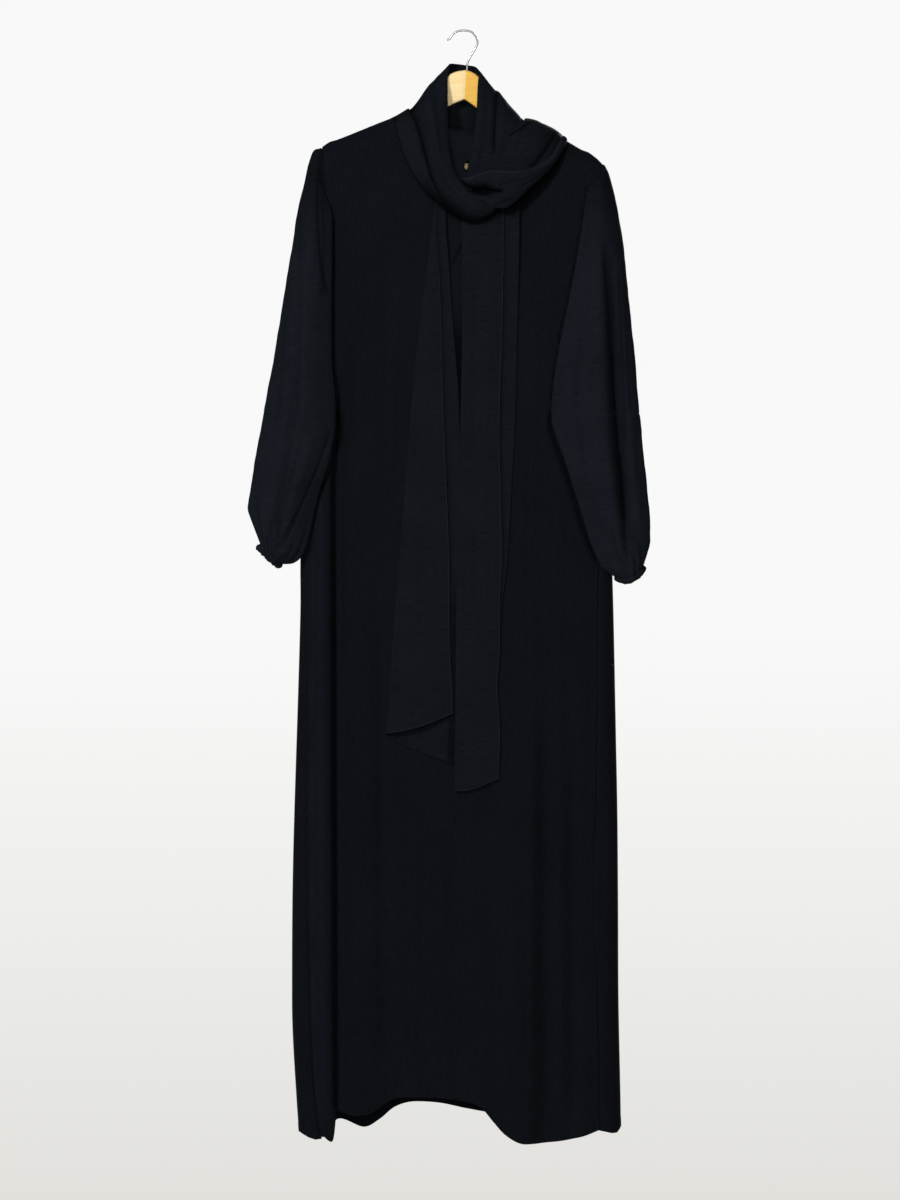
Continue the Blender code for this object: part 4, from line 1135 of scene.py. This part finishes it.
def crepe_group():
    """Crinkled crepe: long uneven crinkles, a finer pucker, and the twisted yarns between, darkened by painted shade
    and lightened by painted highlights.
    """
    tree, given, out = pattern_group("crepe_crinkle", Shade="Color", Light="Color", Fold="Float")
    long_lines = streaks(tree, given["Place"], 0.0026, 0.019, 3)
    pucker = streaks(tree, given["Place"], 0.0013, 0.0045, 2)
    yarns = streaks(tree, given["Place"], 0.00045, 0.0009, 1)
    clouds = streaks(tree, given["Place"], 0.09, 0.16, 2)
    height = weighted(tree, (long_lines, 0.62), (pucker, 0.28), (yarns, 0.1))
    tone = weighted(tree, (long_lines, 0.35), (pucker, 0.5), (clouds, 0.15))
    colour = blended(tree, ranged(tree, tone, 0.36, 0.64), given["Shade"], given["Light"])
    # Painted shade towards 1, painted highlight towards -1.
    deep = ranged(tree, given["Fold"], 0, 1, 0, 0.94)
    colour = blended(tree, deep, colour, PAINTED_FOLD_SHADE)
    colour = blended(tree, ranged(tree, given["Fold"], -1, 0, 1, 0), colour, LIT_EDGE)
    rough = ranged(tree, pucker, 0.3, 0.7, 0.84, 0.98)
    link(tree, (colour, out["Colour"]), (rough, out["Roughness"]), (height, out["Height"]))
    return tree


def grain_group():
    """Beech: long streaks, short dark flecks and a slow change of tone, along the arm."""
    tree, given, out = pattern_group("beech_grain", Dark="Color", Light="Color")
    long_lines = streaks(tree, given["Place"], 0.0024, 0.09, 4)
    flecks = streaks(tree, given["Place"], 0.0007, 0.006, 1)
    bands = streaks(tree, given["Place"], 0.012, 0.3, 2)
    tone = weighted(tree, (long_lines, 0.45), (flecks, 0.2), (bands, 0.35))
    colour = blended(tree, ranged(tree, tone, 0.32, 0.66), given["Dark"], given["Light"])
    rough = ranged(tree, long_lines, 0.3, 0.7, 0.3, 0.46)
    height = weighted(tree, (long_lines, 0.6), (flecks, 0.4))
    link(tree, (colour, out["Colour"]), (rough, out["Roughness"]), (height, out["Height"]))
    return tree


def made_of(name, group, colours, bump, uv):
    """A material whose colour, roughness and relief come from a group, by a UV map."""
    material, tree, shader = new_material(name)
    place_on = add_node(tree, "ShaderNodeUVMap", uv_map=uv)
    pattern = add_node(tree, "ShaderNodeGroup", node_tree=group)
    link(tree, (place_on.outputs["UV"], pattern.inputs["Place"]))
    set_inputs(pattern, {label: (*colour[:3], 1) for label, colour in colours.items()})
    relief = add_node(tree, "ShaderNodeBump")
    set_inputs(relief, {"Strength": bump[0], "Distance": bump[1]})
    link(
        tree,
        (pattern.outputs["Colour"], shader.inputs["Base Color"]),
        (pattern.outputs["Roughness"], shader.inputs["Roughness"]),
        (pattern.outputs["Height"], relief.inputs["Height"]),
        (relief.outputs["Normal"], shader.inputs["Normal"]),
    )
    material.diffuse_color = (*next(iter(colours.values()))[:3], 1)
    return material, shader


def black_crepe(cloth, way):
    """The garment's material, made once for each way of the grain; the scarf's copy is lighter, partly from the
    grain's nap and partly painted light, and the sleeves' copy is lighter as painted light.
    """
    name = way + "_crepe"
    found = bpy.data.materials.get(name)
    if found:
        return found
    # lift: how much lighter each copy is, partly nap for the scarf and painted light for the sleeves.
    lift = {"lengthwise": 1, "crosswise": cloth.crosswise, "sleeve": cloth.turned}[way]
    colours = {"Shade": [c * lift for c in cloth.shade], "Light": [c * lift for c in cloth.light]}
    group = bpy.data.node_groups.get("crepe_crinkle") or crepe_group()
    material, shader = made_of(name, group, colours, (0.6, cloth.crinkle), "cloth")
    tree, base = material.node_tree, shader.inputs["Base Color"]
    folded = add_node(tree, "ShaderNodeAttribute", attribute_name="fold_shade")
    link(tree, (folded.outputs["Fac"], base.links[0].from_node.inputs["Fold"]))
    # The sleeves' painted light fades to the body's tone towards the shoulders.
    if way == "sleeve":
        where = add_node(tree, "ShaderNodeTexCoord")
        split = add_node(tree, "ShaderNodeSeparateXYZ")
        even = add_node(tree, "ShaderNodeVectorMath", operation="SCALE")
        link(tree, (where.outputs["Object"], split.inputs[0]), (base.links[0].from_socket, even.inputs[0]))
        scale = ranged(tree, split.outputs["Z"], *SLEEVE_PAINTED_LIGHT_FADE, 1, 1 / lift)
        link(tree, (scale, even.inputs["Scale"]), (even.outputs[0], base))
    set_inputs(shader, {"Specular IOR Level": 0.01, "Sheen Weight": 0.003, "Sheen Roughness": 0.5})
    shader.inputs["Sheen Tint"].default_value = (0.75, 0.88, 1.0, 1)
    return material


def pale_floor(colour):
    """A matt floor, faintly mottled."""
    material, tree, shader = new_material("pale_floor")
    where = add_node(tree, "ShaderNodeTexCoord")
    mottle = streaks(tree, where.outputs["Object"], 0.4, 0.4, 2)
    tint = blended(tree, ranged(tree, mottle, 0.3, 0.7), [0.97 * c for c in colour], list(colour))
    set_inputs(shader, {"Roughness": 0.9})
    link(tree, (tint, shader.inputs["Base Color"]))
    return material


def pale_world(colour, ambient):
    """Pale surroundings, a little darker and warmer below, that light the cloth only softly."""
    world = bpy.data.worlds.new("pale")
    world.use_nodes = True
    tree = world.node_tree
    sky = tree.nodes["Background"]
    where = add_node(tree, "ShaderNodeTexCoord")
    split = add_node(tree, "ShaderNodeSeparateXYZ")
    rise = ranged(tree, split.outputs["Z"], -0.09, -0.005)
    low = (0.84 * colour[0], 0.835 * colour[1], 0.815 * colour[2])
    high = (1.045 * colour[0], 1.055 * colour[1], 1.07 * colour[2])
    tint = blended(tree, rise, low, high)
    link(tree, (where.outputs["Generated"], split.inputs[0]), (tint, sky.inputs["Color"]))
    rays = add_node(tree, "ShaderNodeLightPath")
    seen = add_node(tree, "ShaderNodeMath", operation="MAXIMUM")
    link(tree, (rays.outputs["Is Camera Ray"], seen.inputs[0]), (rays.outputs["Is Glossy Ray"], seen.inputs[1]))
    link(tree, (ranged(tree, seen.outputs[0], 0, 1, ambient, 1), sky.inputs["Strength"]))
    return world


def thread_black(colour):
    """Twisted sewing thread."""
    material, tree, shader = new_material("black_thread")
    where = add_node(tree, "ShaderNodeTexCoord")
    twist = streaks(tree, where.outputs["Object"], 0.0003, 0.0006, 1)
    tint = blended(tree, twist, [0.6 * c for c in colour], [1.5 * c for c in colour])
    link(tree, (tint, shader.inputs["Base Color"]))
    set_inputs(shader, {"Roughness": 0.55, "Specular IOR Level": 0.2})
    return material


def steel_of(colour):
    """Polished wire, faintly drawn and scuffed."""
    material, tree, shader = new_material("polished_steel")
    where = add_node(tree, "ShaderNodeTexCoord")
    scuffs = streaks(tree, where.outputs["Object"], 0.004, 0.002, 3)
    link(tree, (ranged(tree, scuffs, 0.3, 0.7, 0.16, 0.34), shader.inputs["Roughness"]))
    set_inputs(shader, {"Base Color": (*colour, 1), "Metallic": 1})
    return material


# Settings


class AbayaCloth(bpy.types.PropertyGroup):
    """The black crepe and how it is finished."""

    shade: bpy.props.FloatVectorProperty(
        name="Shade", description="Colour between the crinkles",
        default=(0.0013, 0.0017, 0.0025), subtype="COLOR", min=0, max=1,
    )
    light: bpy.props.FloatVectorProperty(
        name="Light", description="Colour on the crinkles",
        default=(0.0027, 0.0033, 0.0045), subtype="COLOR", min=0, max=1,
    )
    # Partly the nap of crepe cut across the grain, partly painted light on the scarf.
    crosswise: bpy.props.FloatProperty(
        name="Crosswise", description="How much lighter the scarf looks, cut across the grain",
        default=1.32, min=0,
    )
    # Painted light: a lighter copy of the crepe for the sleeves.
    turned: bpy.props.FloatProperty(
        name="Turned", description="How much lighter the sleeves look", default=1.78, min=0
    )
    crinkle: bpy.props.FloatProperty(
        name="Crinkle", description="Height of the crepe's crinkles",
        default=0.0007, unit="LENGTH", min=0,
    )
    thickness: bpy.props.FloatProperty(
        name="Thickness", description="The cloth's wall", default=0.0007, unit="LENGTH", min=0.0003
    )
    folded: bpy.props.FloatProperty(
        name="Folded", description="The scarf's wall, folded lengthwise",
        default=0.0014, unit="LENGTH", min=0.0003,
    )
    hem: bpy.props.FloatProperty(
        name="Hem", description="Thickness of a turned hem",
        default=0.0017, unit="LENGTH", min=0.0003,
    )
    hem_width: bpy.props.FloatProperty(
        name="Hem Width", description="Depth of the garment's turned hems",
        default=0.012, unit="LENGTH", min=0,
    )


class AbayaStitches(bpy.types.PropertyGroup):
    """The stitches of the hems and the elastic casings."""

    length: bpy.props.FloatProperty(
        name="Length", description="One stitch", default=0.0023, unit="LENGTH", min=0.0005
    )
    pitch: bpy.props.FloatProperty(
        name="Pitch", description="From stitch to stitch", default=0.0031, unit="LENGTH", min=0.001
    )
    thread: bpy.props.FloatProperty(
        name="Thread", description="The thread's radius", default=0.0002, unit="LENGTH", min=0.00005
    )
    colour: bpy.props.FloatVectorProperty(
        name="Colour", description="The thread",
        default=(0.0055, 0.0064, 0.008), subtype="COLOR", min=0, max=1,
    )


class AbayaHanger(bpy.types.PropertyGroup):
    """The wooden hanger and its hook."""

    # The left arm's paler tone is partly the beech's own and partly painted highlight; the right arm's deeper tone is
    # partly painted shade.
    left_wood_and_glare: bpy.props.FloatVectorProperty(
        name="Left Arm", description="Light tone of the left arm",
        default=(0.495, 0.405, 0.225), subtype="COLOR", min=0, max=1,
    )
    right_wood_and_shade: bpy.props.FloatVectorProperty(
        name="Right Arm", description="Light tone of the right arm",
        default=(0.41, 0.256, 0.05), subtype="COLOR", min=0, max=1,
    )
    varnish: bpy.props.FloatProperty(
        name="Varnish", description="Weight of the clear varnish",
        default=0.04, subtype="FACTOR", min=0, max=1,
    )
    steel: bpy.props.FloatVectorProperty(
        name="Steel", description="The hook's metal",
        default=(0.15, 0.154, 0.16), subtype="COLOR", min=0, max=1,
    )


class AbayaStudio(bpy.types.PropertyGroup):
    """The floor, the light and the camera."""

    distance: bpy.props.FloatProperty(
        name="Distance", description="From the camera to the garment",
        default=10.0, unit="LENGTH", min=1,
    )
    pale: bpy.props.FloatVectorProperty(
        name="Pale", description="The floor and the surroundings",
        default=(0.90, 0.895, 0.88), subtype="COLOR", min=0, max=1,
    )
    softbox: bpy.props.FloatProperty(
        name="Softbox", description="Power of the main light, in watts", default=225, min=0
    )
    front: bpy.props.FloatProperty(
        name="Front", description="The front light's share of the main one", default=0.75, min=0
    )
    back: bpy.props.FloatProperty(
        name="Back", description="The back light's share of the main one", default=1.5, min=0
    )
    ambient: bpy.props.FloatProperty(
        name="Ambient", description="How much the surroundings light the garment",
        default=0.14, min=0,
    )


# Operators


class ABAYA_OT_studio(bpy.types.Operator):
    """Set up the pale floor, the soft light and the camera"""

    bl_idname = "abaya.studio"
    bl_label = "Studio"

    def execute(self, context):
        studio, scene = context.scene.abaya_studio, context.scene
        mesh = bpy.data.meshes.new("floor")
        corners = [(-3.4, -3.4, -2.2), (3.4, -3.4, -2.2), (3.4, 1.85, -2.2), (-3.4, 1.85, -2.2)]
        mesh.from_pydata(corners, [], [(0, 1, 2, 3)])
        mesh.materials.append(pale_floor(studio.pale))
        floor = bpy.data.objects.new("floor", mesh)
        scene.collection.objects.link(floor)
        scene.world = pale_world(studio.pale, studio.ambient)
        for name, spot, power, size in (
            ("softbox", (-1.6, -3.2, 1.4), studio.softbox, 0.5),
            ("front", (0.05, -5.0, -0.4), studio.softbox * studio.front, 1.6),
            ("back", (1.6, 4.2, 1.2), studio.softbox * studio.back, 1.2),
        ):
            light = bpy.data.lights.new(name, "AREA")
            light.energy = power
            light.size = size
            lamp = bpy.data.objects.new(name, light)
            lamp.location = spot
            lamp.visible_camera = False
            lamp.rotation_euler = (Vector((0, 0, -0.7)) - lamp.location).to_track_quat("-Z", "Y").to_euler()
            scene.collection.objects.link(lamp)
        lens = bpy.data.cameras.new("camera")
        lens.sensor_width = 36
        lens.lens = 36 * studio.distance / 1.8
        camera = bpy.data.objects.new("camera", lens)
        camera.location = (-0.0225, -0.045 - studio.distance, -0.8565)
        camera.rotation_euler = (math.pi / 2, 0, 0)
        scene.collection.objects.link(camera)
        scene.camera = camera
        scene.view_settings.view_transform = "Standard"
        return {"FINISHED"}


def hemmed(points, cloth, where, width):
    """The wall's thickness in millimetres: doubled over near the edges named."""
    across, along = arc_lengths(points)
    away = {"foot": along[-1:] - along, "start": across, "end": across[:, -1:] - across}
    near = np.min([away[name] for name in where], axis=0)
    return mix(cloth.hem, cloth.thickness, ease(near, width - 0.0008, width + 0.0006)) / MM


def cloth_piece(context, name, node, made, thickness, way):
    """A finished piece of crepe from its grid and shade, with its drawn lines."""
    points, shade = drawn(node, *made)
    mesh = wall(node, points, thickness, way != "lengthwise", shade)
    return place(context, name, mesh, black_crepe(context.scene.abaya_cloth, way), node)


class ABAYA_OT_body(bpy.types.Operator):
    """Make the front and back panels"""

    bl_idname = "abaya.body"
    bl_label = "Body Panels"

    def execute(self, context):
        cloth = context.scene.abaya_cloth
        for node, made, flat, area in (
            ("front_panel", front_panel(), (0.52, 1.56), 0.70),
            ("back_panel", back_panel(), (0.60, 1.58), 0.84),
        ):
            thick = hemmed(made[0], cloth, ["foot"], cloth.hem_width)
            piece = cloth_piece(context, "abaya_" + node, node, made, thick, "lengthwise")
        return {"FINISHED"}


class ABAYA_OT_sleeves(bpy.types.Operator):
    """Make the two sleeves, gathered to the wrists, and their elastic cuffs"""

    bl_idname = "abaya.sleeves"
    bl_label = "Sleeves and Cuffs"

    def execute(self, context):
        cloth = context.scene.abaya_cloth
        for side in SLEEVES:
            node = "sleeve_" + side
            piece = cloth_piece(context, "abaya_" + node, node, sleeve(side), cloth.thickness / MM, "sleeve")
            node = "cuff_" + side
            piece = cloth_piece(context, "abaya_" + node, node, (cuff(side), 0.0), CASING, "sleeve")
        return {"FINISHED"}


class ABAYA_OT_scarf(bpy.types.Operator):
    """Wind the scarf round the neck"""

    bl_idname = "abaya.scarf"
    bl_label = "Scarf"

    def execute(self, context):
        cloth = context.scene.abaya_cloth
        right = band(LOOP, 0.0, 5.97, 90, 76, LOOP_CREASES, 41, LOOP_LAPS)
        bunch = band(SHOULDER_BUNCH, 0, 9, 130, 64, BUNCH_CREASES, 45, BUNCH_LAPS)
        left = turned_in(*band(LOOP, 8.03, 17.0, 132, 84, LOOP_CREASES, 43, LOOP_LAPS, 0.72))
        for node, made, flat, rests in (
            ("scarf_right", right, (0.07, 0.26), "abaya_front_panel"),
            ("scarf_back", band(LOOP, 6.03, 7.97, 36, 60, LOOP_CREASES, 42), (0.11, 0.07), "scarf_right_loop"),
            ("scarf_left", left, (0.09, 0.36), "abaya_front_panel"),
            ("scarf_flap", pouch(), (0.05, 0.20), "abaya_front_panel"),
            ("scarf_shoulder", bunch, (0.06, 0.46), "abaya_back_panel"),
        ):
            piece = cloth_piece(context, node + "_loop", node, made, cloth.folded / MM, "crosswise")
        return {"FINISHED"}


class ABAYA_OT_scarf_ends(bpy.types.Operator):
    """Hang the scarf's two folded ends down the front"""

    bl_idname = "abaya.scarf_ends"
    bl_label = "Scarf Ends"

    def execute(self, context):
        cloth = context.scene.abaya_cloth
        for side, flat in (("left", (0.13, 0.84)), ("right", (0.15, 0.89))):
            made = tail(side)
            thick = hemmed(made[0], cloth, ["foot", "start", "end"], SCARF_HEM)
            piece = cloth_piece(context, "scarf_end_" + side, "tail_" + side, made, thick, "crosswise")
        return {"FINISHED"}


def stitch_tree():
    """Runs a stitch along every edge line of a mesh: an ellipsoid of thread at each step."""
    tree = bpy.data.node_groups.new("stitches", "GeometryNodeTree")
    tree.interface.new_socket("Geometry", in_out="INPUT", socket_type="NodeSocketGeometry")
    for label, kind in (("Length", "Float"), ("Pitch", "Float"), ("Thread", "Float"), ("Material", "Material")):
        tree.interface.new_socket(label, in_out="INPUT", socket_type="NodeSocket" + kind)
    tree.interface.new_socket("Geometry", in_out="OUTPUT", socket_type="NodeSocketGeometry")
    given = add_node(tree, "NodeGroupInput")
    lines = add_node(tree, "GeometryNodeMeshToCurve")
    spaced = add_node(tree, "GeometryNodeResampleCurve", mode="LENGTH")
    heading = add_node(tree, "GeometryNodeInputTangent")
    turn = add_node(tree, "FunctionNodeAlignRotationToVector", axis="X")
    bead = add_node(tree, "GeometryNodeMeshUVSphere")
    set_inputs(bead, {"Segments": 8, "Rings": 5, "Radius": 1})
    half = add_node(tree, "ShaderNodeMath", operation="MULTIPLY")
    half.inputs[1].default_value = 0.5
    size = add_node(tree, "ShaderNodeCombineXYZ")
    put = add_node(tree, "GeometryNodeInstanceOnPoints")
    real = add_node(tree, "GeometryNodeRealizeInstances")
    smooth = add_node(tree, "GeometryNodeSetShadeSmooth")
    dress = add_node(tree, "GeometryNodeSetMaterial")
    out = add_node(tree, "NodeGroupOutput")
    link(
        tree,
        (given.outputs["Geometry"], lines.inputs["Mesh"]),
        (lines.outputs["Curve"], spaced.inputs["Curve"]),
        (given.outputs["Pitch"], spaced.inputs["Length"]),
        (heading.outputs["Tangent"], turn.inputs["Vector"]),
        (given.outputs["Length"], half.inputs[0]),
        (half.outputs[0], size.inputs["X"]),
        (given.outputs["Thread"], size.inputs["Y"]),
        (given.outputs["Thread"], size.inputs["Z"]),
        (spaced.outputs["Curve"], put.inputs["Points"]),
        (bead.outputs["Mesh"], put.inputs["Instance"]),
        (turn.outputs["Rotation"], put.inputs["Rotation"]),
        (size.outputs["Vector"], put.inputs["Scale"]),
        (put.outputs["Instances"], real.inputs["Geometry"]),
        (real.outputs["Geometry"], smooth.inputs["Geometry"]),
        (smooth.outputs["Geometry"], dress.inputs["Geometry"]),
        (given.outputs["Material"], dress.inputs["Material"]),
        (dress.outputs["Geometry"], out.inputs["Geometry"]),
    )
    return tree


def hem_lines():
    """The lines that stitches follow: along the hems, the scarf's ends and the wrists."""
    lines = []
    for points in (front_panel()[0], back_panel()[0]):
        lines.append((points + outward(points) * PANEL_STITCH)[-3])
    for name in TAILS:
        points = tail(name)[0]
        raised = points + outward(points) * SCARF_STITCH
        lines += [raised[:, 1], raised[-2]]
    for name in SLEEVES:
        points = cuff(name)
        lift = outward(points) * CUFF_STITCH
        lines += [(points + lift)[3], (points + lift)[-4]]
    return lines


class ABAYA_OT_stitches(bpy.types.Operator):
    """Stitch the hems, the scarf's ends and the elastic casings"""

    bl_idname = "abaya.stitches"
    bl_label = "Stitches"

    def execute(self, context):
        thread = context.scene.abaya_stitches
        lines = hem_lines()
        starts = np.cumsum([0] + [len(line) for line in lines])
        edges = [(i, i + 1) for a, b in zip(starts, starts[1:]) for i in range(a, b - 1)]
        mesh = bpy.data.meshes.new("stitch_lines")
        mesh.from_pydata((np.concatenate(lines) * MM).tolist(), edges, [])
        guide = bpy.data.objects.new("stitch_lines", mesh)
        context.scene.collection.objects.link(guide)
        tree = stitch_tree()
        nodes = guide.modifiers.new("stitches", "NODES")
        nodes.node_group = tree
        sockets = {item.name: item.identifier for item in tree.interface.items_tree if item.in_out == "INPUT"}
        material = thread_black(thread.colour)
        values = {"Length": thread.length, "Pitch": thread.pitch, "Thread": thread.thread}
        for label, value in {**values, "Material": material}.items():
            nodes[sockets[label]] = value
        graph = context.evaluated_depsgraph_get()
        made = bpy.data.meshes.new_from_object(guide.evaluated_get(graph), depsgraph=graph)
        bpy.data.objects.remove(guide)
        if not made.polygons:
            raise RuntimeError("the stitches came out empty")
        made.name = "stitches"
        place(context, "hem_stitches", made, material, None)
        return {"FINISHED"}


def arms_mesh():
    """The two wooden arms as rounded sections from tip to tip, mitred at the middle."""
    near_ends = [-0.35, 0.35, -1.2, 1.2, -199.2, 199.2]
    arm = np.unique(np.concatenate([np.linspace(-ARM_HALF, ARM_HALF, 121), near_ends]))

    def soft(rows):
        """An edge's height along the arm, rounded off away from the mitre."""
        edge = arm_edge(rows, arm)
        near = np.stack([arm_edge(rows, np.clip(np.abs(arm) + d, 0, None)) for d in (-9, -5, 0, 5, 9)])
        return mix(edge, near.mean(axis=0), ease(np.abs(arm), 4, 16))

    top, bottom = soft(WOOD_TOP), soft(ARM_BOTTOM)
    turn = np.radians(np.linspace(0, 180, 17))
    upper = np.stack([WOOD_HALF * np.cos(turn), 4.5 * (np.sin(turn) - 1)], axis=-1)
    low = np.radians(np.linspace(180, 360, 13))
    broad = WOOD_HALF * np.sign(np.cos(low)) * np.abs(np.cos(low)) ** 0.6
    lower = np.stack([broad, 3.0 + 3.0 * np.sin(low)], axis=-1)
    points = []
    for x, high, base in zip(arm, top, bottom):
        inset = 0.9 if abs(x) > ARM_HALF - 0.5 else 0.95 if abs(x) < 0.5 else 1.0
        ring = [(x, y * inset, high + z) for y, z in upper] + [(x, y * inset, base + z) for y, z in lower]
        points.append([(px, -py - ARM_SWEEP * abs(px), pz) for px, py, pz in ring])
    points = np.array(points)
    points[..., 0], points[..., 2] = tilted(points[..., 0], points[..., 2])
    points[..., 0] += MITRE_SHIFT * np.exp(-(((points[..., 0] - HANGER_TOP[0]) / 14) ** 2))
    count, around = points.shape[:2]
    index = np.arange(count * around).reshape(count, around)
    after = np.roll(index, -1, axis=1)
    faces = np.stack([index[:-1], after[:-1], after[1:], index[1:]], axis=-1).reshape(-1, 4).tolist()
    mesh = bpy.data.meshes.new("hanger_arms")
    caps = [index[0][::-1].tolist(), index[-1].tolist()]
    mesh.from_pydata((points.reshape(-1, 3) * MM).tolist(), [], faces + caps)
    mesh.shade_smooth()
    layer = mesh.uv_layers.new(name="grain")
    slope = np.where(arm < 0, 1, -1)[:, None] * 0.42
    across = points[..., 2] - slope * points[..., 0]
    along = np.hypot(points[..., 0], points[..., 2]) * np.sign(points[..., 0] + 1e-6)
    flat = np.stack([across + 3 * points[..., 1], along], axis=-1).reshape(-1, 2) * MM
    corners = np.empty(len(mesh.loops), np.int32)
    mesh.loops.foreach_get("vertex_index", corners)
    layer.data.foreach_set("uv", flat[corners].ravel().astype(np.float32))
    for face in mesh.polygons:
        face.material_index = int(face.center.x * 1000 > HANGER_TOP[0] - 0.2 + MITRE_SHIFT)
    return mesh


class ABAYA_OT_hanger(bpy.types.Operator):
    """Make the wooden hanger, its bar and its steel hook"""

    bl_idname = "abaya.hanger"
    bl_label = "Hanger"

    def execute(self, context):
        look = context.scene.abaya_hanger
        grain = grain_group()
        woods = []
        # Lit and shaded copies of the beech, one for each arm: painted highlight on the left, painted shade on the
        # right.
        for name, light in (("beech_left", look.left_wood_and_glare), ("beech_right", look.right_wood_and_shade)):
            dark = (light[0] * 0.84, light[1] * 0.72, light[2] * 0.56)
            material, shader = made_of(name, grain, {"Dark": dark, "Light": light}, (0.25, 0.0003), "grain")
            set_inputs(shader, {"Coat Weight": look.varnish, "Coat Roughness": 0.3, "Specular IOR Level": 0.03})
            woods.append(material)
        place(context, "hanger_arms", arms_mesh(), woods, "hanger_wood")
        ends = [tilted(x, -BAR_DROP) for x in (-BAR_HALF, BAR_HALF)]
        x = np.linspace(0, 1, 25)
        bar = [(mix(ends[0][0], ends[1][0], t), BAR_DEPTH, mix(ends[0][1], ends[1][1], t)) for t in x]
        mesh = tube("hanger_rod", bar, BAR_RADIUS, 5)
        layer = mesh.uv_layers.new(name="grain")
        for loop in mesh.loops:
            at = mesh.vertices[loop.vertex_index].co
            layer.data[loop.index].uv = (at.z + 0.6 * at.y, at.x)
        mesh.shade_smooth()
        place(context, "hanger_rod", mesh, woods[0], "hanger_bar")
        wire = through([(x, 0, z) for x, z in HOOK], 96)
        mesh = tube("hanger_wire", wire, HOOK_RADIUS, 6)
        mesh.shade_smooth()
        place(context, "hanger_wire", mesh, steel_of(look.steel), "hanger_hook")
        return {"FINISHED"}


OPERATORS = (
    ABAYA_OT_studio,
    ABAYA_OT_body,
    ABAYA_OT_sleeves,
    ABAYA_OT_scarf,
    ABAYA_OT_scarf_ends,
    ABAYA_OT_stitches,
    ABAYA_OT_hanger,
)


class ABAYA_PT_panel(bpy.types.Panel):
    """The pieces of the hanging abaya, in the order in which they are made"""

    bl_label = "Abaya"
    bl_idname = "ABAYA_PT_panel"
    bl_space_type = "VIEW_3D"
    bl_region_type = "UI"
    bl_category = "Abaya"

    def draw(self, context):
        for group in SETTINGS:
            box = self.layout.box()
            for name in SETTINGS[group].__annotations__:
                box.prop(getattr(context.scene, group), name)
        for operator in OPERATORS:
            self.layout.operator(operator.bl_idname)


SETTINGS = {
    "abaya_cloth": AbayaCloth,
    "abaya_stitches": AbayaStitches,
    "abaya_hanger": AbayaHanger,
    "abaya_studio": AbayaStudio,
}


def register():
    for group, kind in SETTINGS.items():
        bpy.utils.register_class(kind)
        setattr(bpy.types.Scene, group, bpy.props.PointerProperty(type=kind))
    for kind in (*OPERATORS, ABAYA_PT_panel):
        bpy.utils.register_class(kind)


def unregister():
    for kind in (ABAYA_PT_panel, *reversed(OPERATORS)):
        bpy.utils.unregister_class(kind)
    for group, kind in SETTINGS.items():
        delattr(bpy.types.Scene, group)
        bpy.utils.unregister_class(kind)


def main():
    register()
    for operator in OPERATORS:
        kind, name = operator.bl_idname.split(".")
        getattr(getattr(bpy.ops, kind), name)()


if __name__ == "__main__":
    main()
